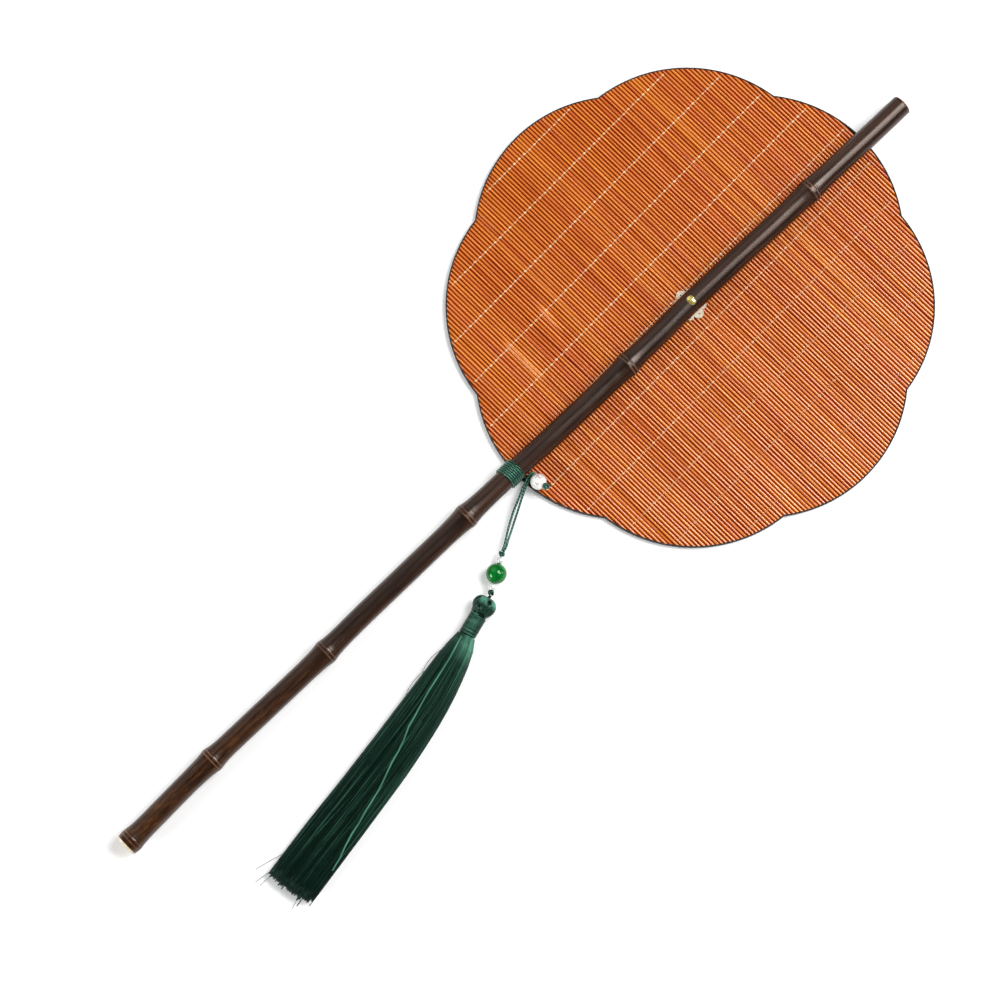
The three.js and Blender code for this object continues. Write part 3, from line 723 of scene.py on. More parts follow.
slatSettings = {
    "pitch": 1.8, "width": 1.79, "crown": 0.44, "crownSegments": 4, "cuts": 29, "leastHalf": 8.0,
    "lift": (-0.1, 0.03), "lean": 0.05, "roll": 0.2, "wave": 0.05, "crestShift": 0.13, "valleySpread": 0.15,
    "valleyWave": 0.1, "toneDrift": 0.08, "toneSpread": 0.13, "toneWave": 0.32,
    "noises": {  # pace along a slat, stride from slat to slat, layer
        "wave": (0.03, 1.7, 0.0), "crest": (0.03, 2.9, 4.0), "valley": (0.04, 3.1, 2.0), "tone": (0.035, 2.3, 7.0),
    },
    "flatSlats": {-45: (-50.6, -28.0), -44: (-50.6, -30.0), -31: (-50.6, -40.0), -30: (-50.6, -43.0)},  # from, to
    "flatTone": 0.72, "flatSide": 0.4, "seed": 4,
}


def slatNoise(kind, x, slat):
    pace, stride, layer = slatSettings["noises"][kind]
    return noise.noise(Vector((x * pace, slat * stride, layer)))


def runsAlong(edge):
    return abs(edge.verts[0].co.x - edge.verts[1].co.x) > 1


def makeSlatShape():
    s = slatSettings
    bm = bmesh.new()
    bmesh.ops.create_cube(bm, size=1.0, matrix=Matrix.Translation((0, 0, 0.5)) @ Matrix.Diagonal((2, 1, 1, 1)))
    top = [e for e in bm.edges if all(v.co.z > 0.9 for v in e.verts) and runsAlong(e)]
    bmesh.ops.bevel(bm, geom=top, offset=s["crown"], affect="EDGES", segments=s["crownSegments"], profile=0.5,
                    material=-1)
    lengths = [e for e in bm.edges if runsAlong(e)]
    bmesh.ops.subdivide_edges(bm, edges=lengths, cuts=s["cuts"], use_grid_fill=True)
    return meshFrom(bm, "slatShape")


def makeMat():
    p = panelSettings
    s = slatSettings
    rng = random.Random(s["seed"])
    shape = makeSlatShape()
    bm = bmesh.new()
    tone = floatLayer(bm, "tone")
    side = floatLayer(bm, "side")
    count = 0
    while chordHalf((count + 0.5) * s["pitch"] + 0.8, p["slatInset"]) > s["leastHalf"]:
        count += 1
    height = p["matFront"] - p["matBack"]
    for i in range(-count, count):
        middle = (i + 0.5) * s["pitch"]
        shade = 0.5 + s["toneDrift"] * noise.noise(Vector((i * 0.13, 3.1, 0.0))) + rng.gauss(0, s["toneSpread"])
        valley = 1 + rng.uniform(-1, 1) * s["valleySpread"]
        lift = rng.uniform(*s["lift"])
        lean = rng.uniform(-s["lean"], s["lean"])
        roll = rng.uniform(-1, 1) * s["roll"]
        flatFrom, flatTo = s["flatSlats"].get(i, (0.0, 0.0))
        for v in addCopy(bm, shape):
            y = middle + v.co.y * s["width"]
            x = v.co.x * chordHalf(min(abs(y), abs(middle) + 0.7), p["slatInset"])
            z = p["matBack"] + v.co.z * height
            wave = s["wave"] * slatNoise("wave", x, i)
            crest = v.co.y - s["crestShift"] * slatNoise("crest", x, i)
            # side runs from a slat's crest to its edges; the slat finish paints highlight on the crest and shade
            # between the slats by it
            v[side] = 2 * abs(crest) * (valley + s["valleyWave"] * slatNoise("valley", x, i))
            if v.co.z > 0.3:  # the back stays flat
                z += lift + wave + lean * v.co.x + roll * v.co.y
            v.co = panelPlace @ Vector((x, y + wave, z))
            fade = shade + s["toneWave"] * slatNoise("tone", x, i)
            # flat stretches get a set tone and less painted shade between the slats
            if flatFrom < x < flatTo:
                fade = s["flatTone"]
                v[side] *= s["flatSide"]
            v[tone] = clamp(fade)
    piece = finishPiece(bm, "slatMat", [slatBamboo], "fan", ["bamboo_mat"])
    piece.data.set_sharp_from_angle(angle=radians(50))


makeMat()
print("slats laid")

stitchSettings = {
    "start": -7.15, "pitch": 21.45, "edge": 6.0, "inset": 1.6, "ends": 0.8, "cord": 0.4, "closeness": 0.95,
    "span": 0.84, "halfTurn": radians(52), "sides": 6, "steps": 5, "slant": 0.2, "shift": 0.12,
    "grow": (0.9, 1.12), "overTone": (0.45, 0.95), "linkTone": (0.2, 0.6), "overSink": 0.02, "linkSink": 0.08,
    "lift": 0.02, "press": 0.9, "backFlat": 0.85, "wear": 0.5, "seed": 9,
}


# threads side by side that bend over one slat
def makeStitchShape(threads):
    s = stitchSettings
    centre = (0, 0, 0)
    bm = bmesh.new()
    for k in range(threads):
        ring = bmesh.ops.create_circle(bm, segments=s["sides"], radius=s["cord"] / 2)["verts"]
        edges = list({e for v in ring for e in v.link_edges})
        beside = (k - (threads - 1) / 2) * s["cord"] * s["closeness"]
        bmesh.ops.rotate(bm, verts=ring, cent=centre, matrix=Matrix.Rotation(radians(90), 3, "X"))
        bmesh.ops.translate(bm, verts=ring, vec=(beside, 0, s["span"]))
        bmesh.ops.rotate(bm, verts=ring, cent=centre, matrix=Matrix.Rotation(-s["halfTurn"], 3, "X"))
        bmesh.ops.spin(bm, geom=ring + edges, cent=centre, axis=(1, 0, 0), angle=2 * s["halfTurn"], steps=s["steps"])
    closeEnds(bm)
    return meshFrom(bm, "stitchShape")


# two threads go over every second slat, and one thread links them under the slats between
def makeStitches(name, front, nodes):
    p = panelSettings
    s = stitchSettings
    pitch = slatSettings["pitch"]
    rng = random.Random(s["seed"])
    overShape = makeStitchShape(2)
    linkShape = makeStitchShape(1)
    bm = bmesh.new()
    floatLayer(bm, "paintedShade")
    tone = floatLayer(bm, "tone")
    x = s["start"] - s["pitch"] * floor((p["reach"] - s["edge"] + s["start"]) / s["pitch"])
    while x < p["reach"] - s["edge"]:
        half = chordHalf(abs(x) + s["cord"], s["inset"])
        i = -floor(half / pitch)
        while (i + 0.5) * pitch < half - s["ends"]:
            middle = (i + 0.5) * pitch
            over = (i % 2 == 0) == front
            slant = rng.uniform(0.0, s["slant"]) * (1 if over else -1)
            shift = rng.uniform(-s["shift"], s["shift"])
            grow = rng.uniform(*s["grow"])
            worn = s["wear"] * clamp((x + 0.15 * middle - 5) / 70, -0.2)  # the rows fade on the right
            shade = rng.uniform(*s["overTone" if over else "linkTone"]) - worn
            sink = s["overSink" if over else "linkSink"]
            for v in addCopy(bm, overShape if over else linkShape):
                y = v.co.y
                z = v.co.z - s["span"]
                if front:
                    level = p["matFront"] + s["lift"] - sink + z * s["press"]
                else:  # flat on the backs of the slats
                    z += s["backFlat"] * (s["span"] - sqrt(s["span"] ** 2 - min(y * y, s["span"] ** 2)))
                    level = p["matBack"] + sink - z * s["press"]
                v.co = panelPlace @ Vector((x + shift + v.co.x * grow + slant * y, middle + y, level))
                v[tone] = clamp(shade)
            i += 1
        x += s["pitch"]
    finishPiece(bm, name, [stitchThread], "fan", nodes)


allNodes = list(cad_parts)
makeStitches("frontStitching", True, [n for n in allNodes if n.startswith("front_thread")])
makeStitches("backStitching", False, [n for n in allNodes if n.startswith("back_thread")])

rimSettings = {
    "frontLip": 0.65, "backLip": 1.3, "wall": 0.3, "steps": 640, "round": 0.3, "spinRadius": 100.0,
    "ripple": 0.13, "rippleFrom": 0.5, "ripples": 40,
}


def makeRim():
    p = panelSettings
    s = rimSettings
    top = p["rimTop"]
    base = s["spinRadius"]
    section = [  # inset and height
        (s["backLip"], 0.0), (s["round"], 0.0), (0.09, 0.1), (0.0, s["round"]), (0.0, top - s["round"]),
        (0.09, top - 0.09), (s["round"], top), (s["frontLip"] - 0.12, top), (s["frontLip"], top - 0.12),
        (s["frontLip"], p["matFront"] - 0.3), (s["wall"], p["matFront"] - 0.4), (s["wall"], p["matBack"] + 0.02),
        (s["backLip"], p["matBack"] - 0.05),
    ]
    bm = bmesh.new()
    verts = [bm.verts.new((base - inset, 0, z)) for inset, z in section]
    edges = [bm.edges.new((a, b)) for a, b in zip(verts, verts[1:] + verts[:1])]
    bmesh.ops.spin(bm, geom=verts + edges, cent=(0, 0, 0), axis=(0, 0, 1), angle=tau, steps=s["steps"], use_merge=True)
    bmesh.ops.remove_doubles(bm, verts=bm.verts[:], dist=mergeDistance)
    for v in bm.verts:
        angle = atan2(v.co.y, v.co.x)
        inset = base - hypot(v.co.x, v.co.y)
        ripple = noise.noise(Vector((cos(angle) * s["ripples"], sin(angle) * s["ripples"], v.co.z)))
        if inset > s["rippleFrom"]:
            inset += s["ripple"] * ripple
        reach = lobeReach(angle, inset)
        v.co = panelPlace @ Vector((reach * cos(angle), reach * sin(angle), v.co.z))
    finishPiece(bm, "rimBinding", [rimCloth], "fan", ["rim_binding"])


makeRim()
print("rim bound and stitched")


# plate, pin and washers
pinSettings = {
    "head": 2.6, "height": 1.5, "edge": 0.2, "sunk": 0.3, "shank": 0.75, "seat": 13.2, "back": 0.55, "slot": 0.2,
    "slotDepth": 0.35, "domeSteps": 12, "steps": 40, "shankSteps": 24,
}
washerSettings = {"clearance": 0.05, "edge": 0.12, "frontEdge": 0.05, "steps": 48}
washers = (  # name, radius, back, thickness, finish, slot and node
    ("backWasher", 5.5, 0.9, 0.4, plateSilver, "silver_plate", "back_washer"),
    ("pinBurr", 2.4, 0.55, 0.35, polishedBrass, "brass", "pin_burr"),
)
plateSettings = {
    "centre": (0.0, 119.95, 0.0), "steps": 192, "back": 3.15, "thickness": 0.45,
    "petals": [  # turn, reach and radius of the tip
        (0, 8.8, 2.7), (45, 8.3, 2.2), (-45, 8.3, 2.2), (90, 8.4, 2.6), (180, 8.8, 2.7), (135, 8.3, 2.2),
        (-135, 8.3, 2.2), (-90, 8.4, 2.6),
    ],
    "hub": 6.3,
    "piercings": [(6.6, 0.0, 0.34), (7.9, 0.12, 0.2), (7.9, -0.12, 0.2)],
    "piercingSides": 12, "shankGap": 0.1, "shankSides": 24,
}


def petalReach(angle):
    s = plateSettings
    reach = s["hub"]
    for turn, tip, radius in s["petals"]:
        off = angle - radians(turn)
        square = radius ** 2 - ((tip - radius) * sin(off)) ** 2
        if square > 0 and cos(off) > 0:
            reach = max(reach, (tip - radius) * cos(off) + sqrt(square))
    return reach


def makePlate():
    s = plateSettings
    bm = bmesh.new()
    for v in bmesh.ops.create_circle(bm, segments=s["steps"], radius=1.0)["verts"]:
        v.co *= petalReach(atan2(v.co.y, v.co.x))
    holes = [(0.0, 0.0, pinSettings["shank"] + s["shankGap"], s["shankSides"])]
    for petal, _, _ in s["petals"]:
        a = radians(petal)
        for out, turn, radius in s["piercings"]:
            holes.append((out * cos(a + turn), out * sin(a + turn), radius, s["piercingSides"]))
    for x, y, radius, sides in holes:
        bmesh.ops.create_circle(bm, segments=sides, radius=radius, matrix=Matrix.Translation((x, y, 0)))
    bmesh.ops.triangle_fill(bm, edges=bm.edges[:], use_beauty=True)
    flat = bmesh.ops.extrude_face_region(bm, geom=bm.faces[:])["geom"]
    lifted = [v for v in flat if isinstance(v, bmesh.types.BMVert)]
    bmesh.ops.translate(bm, verts=lifted, vec=(0, 0, s["thickness"]))
    bmesh.ops.translate(bm, verts=bm.verts[:], vec=(s["centre"][0], s["centre"][1], s["back"]))
    piece = finishPiece(bm, "flowerPlate", [plateSilver], "fan", ["flower_plate"])
    piece.data.set_sharp_from_angle(angle=radians(40))


def makePin():
    s = pinSettings
    low = s["seat"] - s["sunk"]
    rim = s["seat"] + s["edge"]
    head = [(0.0, low), (s["head"] * 0.8, low), (s["head"], s["seat"]), (s["head"], rim)]
    for i in range(1, s["domeSteps"] + 1):
        angle = pi / 2 * i / s["domeSteps"]
        head.append((s["head"] * cos(angle), rim + (s["height"] - s["edge"]) * sin(angle)))
    shank = [(0.0, s["back"] - 0.12), (s["shank"] * 0.6, s["back"] - 0.1), (s["shank"], s["back"] + 0.05),
             (s["shank"], s["seat"])]
    bm = bmesh.new()
    spinProfile(bm, head, s["steps"])
    for side in (-s["slot"], 0.0, s["slot"]):  # a slot across the head, in line with the handle
        everything = bm.verts[:] + bm.edges[:] + bm.faces[:]
        bmesh.ops.bisect_plane(bm, geom=everything, plane_co=(side, 0, 0), plane_no=(1, 0, 0))
    for v in bm.verts:
        if abs(v.co.x) < s["slot"] / 2 and v.co.y > s["seat"] + s["sunk"]:
            v.co.y -= s["slotDepth"]
    spinProfile(bm, shank, s["shankSteps"])
    layAlong(bm, plateSettings["centre"], (0, 0, 1))
    finishPiece(bm, "brassPin", [polishedBrass], "fan", ["brass_pin"])


def makeWashers():
    s = washerSettings
    hole = pinSettings["shank"] + s["clearance"]
    for name, radius, back, thickness, material, slot, node in washers:
        front = back + thickness
        profile = [(hole, back), (radius - s["edge"], back), (radius, back + s["edge"]),
                   (radius, front - s["frontEdge"]), (radius - s["frontEdge"], front), (hole, front)]
        makeTurned(name, profile, s["steps"], plateSettings["centre"], (0, 0, 1), material, "fan", slot, node)


makePlate()
makePin()
makeWashers()
print("pin and plate set")


# lashing and tie
lashSettings = {
    "axis": (-0.1, 8.75), "radius": 5.78, "pitch": 1.2, "turns": 6, "lean": 1.6, "lowestBack": -10.71,
    "endAngle": radians(75), "width": 1.16, "thickness": 1.06, "twist": 6.0, "plies": 3, "stepsPerTurn": 120,
    "outSpread": 0.06, "climbSpread": 0.07, "tone": 0.08,
}
tieSettings = {
    "y": -0.65, "radius": 5.76, "back": 0.455, "corner": 0.5, "sideLean": 1.25, "frontLean": 0.8, "mat": 2.9,
    "cord": 0.9, "twist": 2.6, "step": 0.25, "halfGap": 0.5, "knot": 0.75, "knotSqueeze": 0.7, "knotCord": 0.6,
    "knotTwist": 2.4, "knotIn": 0.1,
}


def makeLashing():
    s = lashSettings
    ax, az = s["axis"]
    turns = s["turns"] - 0.5 + s["endAngle"] / (tau)
    steps = int(turns * s["stepsPerTurn"])
    path = []
    for i in range(steps + 1):
        turn = turns * i / steps
        angle = tau * turn - pi
        climb = s["lowestBack"] + s["pitch"] * turn + s["lean"] * (1 + cos(angle)) / 2
        out = s["radius"] + s["outSpread"] * noise.noise(Vector((turn * 2.3, 0.4, 0)))
        climb += s["climbSpread"] * noise.noise(Vector((turn * 1.7, 5.4, 0)))
        path.append(Vector((ax + out * sin(angle), climb, az + out * cos(angle))))

    def outward(point):
        return Vector((point.x - ax, 0, point.z - az))
    bm = bmesh.new()
    # the edge paints shade on the sides of each turn, between the turns
    sweepCord(bm, path, s["width"], s["thickness"], s["twist"], plies=s["plies"], outward=outward, depth=0.0,
              tone=s["tone"], edge=1.0)
    finishCord(bm, "handleLashing", "fan", "handle_lashing")


def makeTie():
    s = tieSettings
    ax, az = lashSettings["axis"]
    back, radius = s["back"], s["radius"]

    def at(x, z):
        climb = clamp((z - s["mat"]) / (az - s["mat"]))
        over = clamp((z - az) / radius)
        lean = s["sideLean"] * climb + (s["frontLean"] - s["sideLean"]) * over
        return Vector((ax + x, s["y"] - lean, z))
    soft = s["corner"] * (1 - sqrt(0.5))
    left = [at(-s["halfGap"], back), at(-radius + s["corner"], back), at(-radius + soft, back + soft),
            at(-radius, back + s["corner"]), at(-radius, (back + az) / 2)]
    for angle in (0, 30, 60):
        a = radians(angle)
        left.append(at(-radius * cos(a), az + radius * sin(a)))
    right = [Vector((2 * ax - p.x, p.y, p.z)) for p in reversed(left)]
    bm = bmesh.new()
    sweepKnot(bm, s["knot"], s["knotSqueeze"], s["knotCord"], s["knotTwist"])
    layAlong(bm, at(0, back + s["knotIn"]), (0, 0, 1))  # both ends are knotted behind the mat
    sweepRound(bm, smoothPath(left + [at(0, az + radius)] + right, s["step"]), s["cord"], s["twist"])
    finishCord(bm, "rimTie", "fan", "rim_tie")


makeLashing()
makeTie()
print("handle lashed")


# tassel
headSettings = {
    "radius": 5.95, "skin": 0.95, "leads": 3, "bights": 5, "width": 3.4, "thickness": 1.2, "weave": 0.7, "tilt": 1.12,
    "lower": 0.05, "twist": 60.0, "plies": 9, "sides": 24, "depth": 0.06, "edge": 0.85, "steps": 720, "tone": 0.06,
    "glow": 0.55, "spread": 1.1, "neckSpread": 0.02, "pastNeck": 1.9,
    "cord": [(0, -4.4, 0), (0, -5.4, 0), (0, -6.45, 0)], "cordWidth": 1.6, "cordTwist": 2.6,
}
neckSettings = {
    "radius": 4.15, "cord": 0.92, "flatness": 0.7, "twist": 2.6, "pitch": 0.88, "start": 5.2, "end": 16.1, "core": 3.8,
    "stepsPerTurn": 60, "glintsPerTurn": 5, "tone": 0.06, "glint": 0.5, "edge": 1.3, "seed": 6,
}


# a ball plaited from one flat band of floss, on a core that runs down into the neck
def makeTasselHead():
    s = headSettings
    n = neckSettings
    core = s["radius"] - s["skin"]
    foot = n["end"] + s["pastNeck"]
    profile = [(core * sin(pi * i / 20), -core * cos(pi * i / 20)) for i in range(15)]
    profile += [(n["core"], core + 0.2), (n["core"], foot), (0.0, foot)]
    bm = bmesh.new()
    spinProfile(bm, profile, 32)
    middle = s["radius"] - s["thickness"] / 2 - s["weave"] / 2
    path = []
    shades = []
    for i in range(s["steps"]):
        t = i / s["steps"]
        angle = tau * s["leads"] * t
        tilt = s["tilt"] * cos(tau * s["bights"] * t) - s["lower"]
        over = cos(tau * s["bights"] * s["leads"] * t)
        out = middle + s["weave"] * 0.5 * over
        # painted highlight where the band crosses over; the edge paints shade along the band's sides
        shades.append(s["tone"] + s["glow"] * max(0.0, over) ** 2)
        path.append(Vector((
            out * cos(tilt) * cos(angle), out * sin(tilt), out * cos(tilt) * sin(angle))))
    sweepCord(bm, path, s["width"], s["thickness"], s["twist"], plies=s["plies"], sides=s["sides"],
              outward=Vector.normalized, depth=s["depth"], closed=True, tones=shades, edge=s["edge"])
    for v in bm.verts:  # the ball is pressed a little wider, most at the neck
        if v.co.y < core:
            v.co.x *= s["spread"] + s["neckSpread"] * max(0.0, v.co.y)
    sweepRound(bm, smoothPath(s["cord"], shortStep), s["cordWidth"], s["cordTwist"])
    layAlong(bm, knots["head"], tasselAim)
    finishPiece(bm, "tasselHead", [floss], "tassel", ["tassel_head"])


def makeNeck():
    s = neckSettings
    rng = random.Random(s["seed"])
    turns = (s["end"] - s["start"]) / s["pitch"]
    steps = int(turns * s["stepsPerTurn"])
    perTurn = s["glintsPerTurn"]
    glints = [s["tone"] + s["glint"] * rng.random() ** 3 for _ in range(int(turns * perTurn) + 2)]
    path = []
    shades = []
    for i in range(steps + 1):
        turn = turns * i / steps
        angle = tau * turn
        climb = s["start"] + s["pitch"] * turn
        path.append(Vector((s["radius"] * sin(angle), climb, s["radius"] * cos(angle))))
        k = int(turn * perTurn)
        glint = glints[k] + (glints[k + 1] - glints[k]) * (turn * perTurn - k)
        shades.append(glint * (0.1 + 0.9 * max(0.0, cos(angle)) ** 2))  # painted highlight on top and painted shade at the sides
    bm = bmesh.new()
    # the glints are painted highlights, and the edge paints shade on the sides of each turn
    sweepCord(bm, path, s["cord"], s["cord"] * s["flatness"], s["twist"], sides=10,
              outward=lambda p: Vector((p.x, 0, p.z)), depth=0.0, tones=shades, edge=s["edge"])
    layAlong(bm, knots["head"], tasselAim)
    finishPiece(bm, "neckWinding", [floss], "tassel", ["neck_winding"])


skirtSettings = {
    "stations": [  # across and along from the neck, half width and half thickness
        (0.1, -0.4, 4.5, 4.3), (1.6, -5, 5.9, 4.8), (3.5, -10.4, 7.6, 5.0), (10.2, -35.4, 10.5, 4.8),
        (16.5, -66.4, 11.9, 4.5), (21, -94.4, 12.4, 4.2), (24.7, -119.4, 12.8, 4.0), (29.4, -149, 12.9, 3.8),
    ],
    "fromHead": 16.3, "neckZ": 6.1, "settle": 9.0, "floorGap": 0.35, "lowest": 0.4, "coreRings": 40,
    "coreSides": 48, "coreEnd": 0.982, "coreDepth": 0.88, "strands": 1000, "steps": 20, "sides": 4, "thread": 0.38,
    "threadSpread": (0.7, 1.2), "taper": 0.85, "depth": (0.84, 1.0), "tuft": 0.012, "finish": (-0.007, 0.005),
    "rightShort": 0.04, "drift": 0.19, "phase": 6.28, "sway": 0.035, "tone": 0.015, "litMiddle": (0.1, 0.85),
    "litReach": (0.06, 0.2), "litSide": 0.7, "litNeck": 0.02, "litWidth": 0.04, "litBelow": 0.5,
    "litFade": 0.12, "glow": (0.25, 0.8), "paleShare": 0.1, "paleAngle": (0.1, 0.98),
    "paleTone": (0.05, 0.24), "innerEnds": 420, "innerDepth": 0.86, "innerFinish": (-0.007, 0.008),
    "innerThread": 1.5,
    "paleStrand": [  # share of the length, and side
        (0.012, -0.36), (0.09, -0.22), (0.224, -0.22), (0.33, -0.1), (0.437, 0.17), (0.607, 0.48), (0.73, 0.62),
        (0.865, 0.86),
    ],
    "paleThread": 0.9, "hairThread": 0.26,
    "flyaways": [
        [(40.6, -86.0, 6.0), (38.6, -92.5, 5.4), (38.3, -99.0, 4.6), (40.2, -106.0, 4.6)],
        [(41.5, -100.0, 5.0), (40.3, -108.0, 4.4), (41.4, -116.0, 4.4), (44.2, -122.0, 4.6)],
        [(57.0, -217.0, 3.5), (55.2, -223.5, 2.6), (53.2, -231.5, 1.6)],
        [(60.0, -222.0, 3.2), (58.6, -229.5, 2.4), (57.6, -236.0, 1.5)],
        [(61.5, -224.0, 4.0), (60.6, -231.0, 2.8), (60.4, -235.5, 1.8)],
        [(79.5, -215.0, 3.6), (82.6, -220.0, 2.6), (84.6, -224.0, 1.6)],
        [(76.0, -222.0, 4.4), (78.4, -228.0, 2.8), (79.6, -232.0, 1.6)],
    ],
    "seed": 21,
}
skirtStations = [Vector(station) for station in skirtSettings["stations"]]
skirtRuns = [0.0]
for a, b in zip(skirtStations, skirtStations[1:]):
    skirtRuns.append(skirtRuns[-1] + (b.xy - a.xy).length)


def skirtAt(share):
    last = len(skirtStations) - 1
    along = share * skirtRuns[-1]
    k = 0
    while k < last - 1 and along > skirtRuns[k + 1]:
        k += 1
    t = (along - skirtRuns[k]) / (skirtRuns[k + 1] - skirtRuns[k])
    before, start, end, after = (skirtStations[clamp(k + step, 0, last)] for step in (-1, 0, 1, 2))
    return curveAt(before, start, end, after, t), (end.xy - start.xy).normalized(), along


def skirtPoint(share, angle, depth):
    s = skirtSettings
    value, heading, along = skirtAt(min(share, 1.0))
    neck = knots["head"] + tasselAim * s["fromHead"]
    settle = min(1.0, along / s["settle"])
    centreZ = s["neckZ"] * (1 - settle) + (value.w + s["floorGap"]) * settle
    extra = max(0.0, share - 1.0) * skirtRuns[-1]
    x = neck.x + value.x + heading.x * extra - heading.y * value.z * depth * cos(angle)
    y = neck.y + value.y + heading.y * extra + heading.x * value.z * depth * cos(angle)
    z = centreZ + value.w * depth * sin(angle)
    return Vector((x, y, max(z, s["lowest"])))


def makeStrandShape(steps):
    bm = bmesh.new()
    bmesh.ops.create_grid(bm, x_segments=steps, y_segments=skirtSettings["sides"], size=1.0)
    return meshFrom(bm, "strandShape")


def layStrand(bm, shape, path, thread, shades):
    tone = floatLayer(bm, "tone")
    last = len(path) - 1
    for v in addCopy(bm, shape):
        k = round((v.co.x + 1) / 2 * last)
        heading = (path[min(k + 1, last)] - path[max(k - 1, 0)]).normalized()
        side = heading.cross(Vector((0, 0, 1))).normalized()
        lift = side.cross(heading)
        angle = pi * (v.co.y + 1)
        taper = skirtSettings["taper"] if k == last else 1.0
        v.co = path[k] + (side * cos(angle) + lift * sin(angle)) * (thread / 2 * taper)
        v[tone] = shades[k]


# painted highlight on the silk where it fans out from the neck, fading below it; both are painted strongest on the
# right side
def skirtShade(share, angle):
    s = skirtSettings
    right = 0.1 + 0.9 * max(0.0, cos(angle - s["litSide"])) ** 2
    below = s["litBelow"] * right * exp(-share / s["litFade"])
    return right * bell(share - s["litNeck"], s["litWidth"]), below


def layStrands(bm, rng, shape):
    s = skirtSettings
    steps = s["steps"]
    for _ in range(s["strands"]):
        angle = rng.uniform(-pi, pi)
        depth = rng.uniform(*s["depth"])
        tuft = s["tuft"] * noise.noise(Vector((angle * 2.6, depth * 9, 1.0)))
        finish = 1.0 + tuft + rng.gauss(*s["finish"]) - s["rightShort"] * max(0.0, cos(angle) - 0.35)
        drift = rng.gauss(0, s["drift"])
        phase = rng.uniform(0, s["phase"])
        base = max(0.0, rng.gauss(0.0, s["tone"]))
        middle = rng.uniform(*s["litMiddle"])
        reach = rng.uniform(*s["litReach"])
        glow = rng.uniform(*s["glow"])
        tail = rng.random() ** 4
        if rng.random() < s["paleShare"]:  # strands that come to the top for a short way, painted lighter there as a highlight where they catch the light
            angle = rng.uniform(*s["paleAngle"]) * pi
            depth = 1.0
            base = rng.uniform(*s["paleTone"])
        path = []
        shades = []
        for k in range(steps + 1):
            t = finish * k / steps
            path.append(skirtPoint(t, angle + drift * t * t + s["sway"] * sin(phase + t * 9), depth))
            nearNeck, below = skirtShade(t, angle)
            # painted highlight near the neck, below it, and along a stretch of each strand
            shades.append(glow * nearNeck + tail * below + base * bell(t - middle, reach))
        layStrand(bm, shape, path, s["thread"] * rng.uniform(*s["threadSpread"]), shades)


# cut ends of the strands inside the skirt
def layCutEnds(bm, rng):
    s = skirtSettings
    shape = makeStrandShape(3)
    for _ in range(s["innerEnds"]):
        angle = rng.uniform(-pi, pi)
        depth = s["innerDepth"] * sqrt(rng.random())
        finish = 1.0 + rng.gauss(*s["innerFinish"])
        path = [skirtPoint(finish - 0.024 + 0.008 * k, angle, depth) for k in range(4)]
        layStrand(bm, shape, path, s["thread"] * s["innerThread"], [0.0, 0.02, 0.04, 0.06])


# one thick pale strand that crosses the skirt, and hairs that stand off it
def layLooseStrands(bm, shape):
    s = skirtSettings
    steps = s["steps"]
    pale = s["paleStrand"]
    path = []
    for k in range(steps + 1):
        share = pale[0][0] + (pale[-1][0] - pale[0][0]) * k / steps
        path.append(skirtPoint(share, acos(readStations(pale, share)), 1.04))
    layStrand(bm, shape, path, s["paleThread"], [0.42 + 0.12 * sin(k * 1.9) for k in range(steps + 1)])
    for hair in s["flyaways"]:
        dense = smoothPath(hair, 1.0)
        path = [dense[round(k * (len(dense) - 1) / steps)] for k in range(steps + 1)]
        layStrand(bm, shape, path, s["hairThread"], [0.08] * (steps + 1))


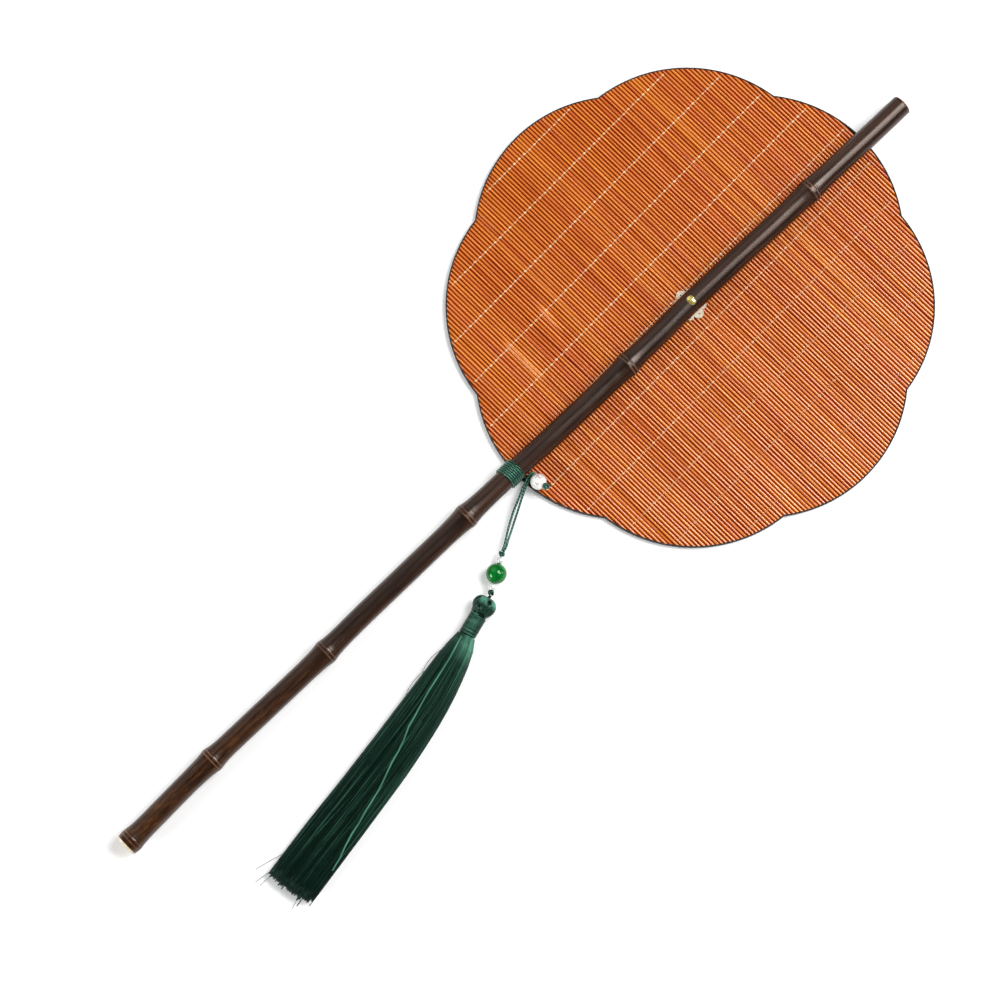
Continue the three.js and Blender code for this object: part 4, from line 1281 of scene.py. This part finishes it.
def makeSkirt():
    s = skirtSettings
    rng = random.Random(s["seed"])
    bm = bmesh.new()
    paintedShade = floatLayer(bm, "paintedShade")
    floatLayer(bm, "tone")
    core = bmesh.ops.create_grid(bm, x_segments=s["coreRings"], y_segments=s["coreSides"], size=1.0)["verts"]
    for v in core:
        share = s["coreEnd"] * (v.co.x + 1) / 2
        angle = pi * (v.co.y + 1)
        v.co = skirtPoint(share, angle, s["coreDepth"] + 0.03 * sin(angle * 19))
        # the core under the strands is painted in shade
        v[paintedShade] = 0.7
    shape = makeStrandShape(s["steps"])
    layStrands(bm, rng, shape)
    layCutEnds(bm, rng)
    layLooseStrands(bm, shape)
    bmesh.ops.remove_doubles(bm, verts=bm.verts[:], dist=mergeDistance / 10)
    closeEnds(bm)
    finishPiece(bm, "tasselSkirt", [floss], "tassel", ["tassel_skirt"])


makeTasselHead()
makeNeck()
makeSkirt()
print("tassel tied")


# floor and light
stageSettings = {"size": 6.0, "floorTone": 0.86, "glow": 0.21}
lamps = {  # place in millimetres, size and power
    "overhead": ((300, 1130, 2000), 0.9, 38.0),
    "besideIt": ((1150, 1130, 1900), 0.8, 20.0),
    "rightBox": ((1250, 1700, 760), 0.34, 6.0),
    "leftBox": ((-2000, 300, 1700), 2.4, 13.0),
    "buttBox": ((-560, -1900, 760), 0.7, 26.0),
}
lampTarget = Vector((0.03, 0.03, 0.0))
roomLight = {"horizon": 0.3, "zenith": 0.08}
white = (1.0, 1.0, 1.0, 1.0)


# a pale floor that glows a little, as a light table does
def makeFloor():
    s = stageSettings
    tone = s["floorTone"]
    bm = bmesh.new()
    bmesh.ops.create_grid(bm, x_segments=1, y_segments=1, size=s["size"] / 2)
    mesh = meshFrom(bm, "floor")
    mesh.materials.append(endMaterial(startMaterial("paleFloor")[0], (tone, tone, tone, 1.0), **{
        "Roughness": 0.9, "Specular IOR Level": 0.1, "Emission Color": white, "Emission Strength": s["glow"]}))
    addObject("floor", mesh)


def makeLamps():
    for name, (place, size, power) in lamps.items():
        data = bpy.data.lights.new(name, "AREA")
        data.size = size
        data.energy = power
        lamp = addObject(name, data)
        lamp.location = Vector(place) * mm
        lamp.rotation_euler = (lamp.location - lampTarget).to_track_quat("Z", "Y").to_euler()
    world = bpy.data.worlds.new("paleRoom")
    world.use_nodes = True
    tree = world.node_tree
    place = addNode(tree, "ShaderNodeTexCoord").outputs["Generated"]
    up = addNode(tree, "ShaderNodeSeparateXYZ", None, Vector=place).outputs["Z"]
    strength = mapRange(tree, up, 0.05, 0.6, roomLight["horizon"], roomLight["zenith"])
    tree.nodes["Background"].inputs["Color"].default_value = white
    tree.links.new(strength, tree.nodes["Background"].inputs["Strength"])
    bpy.context.scene.world = world
    bpy.context.scene.view_settings.view_transform = "Standard"


makeFloor()
makeLamps()
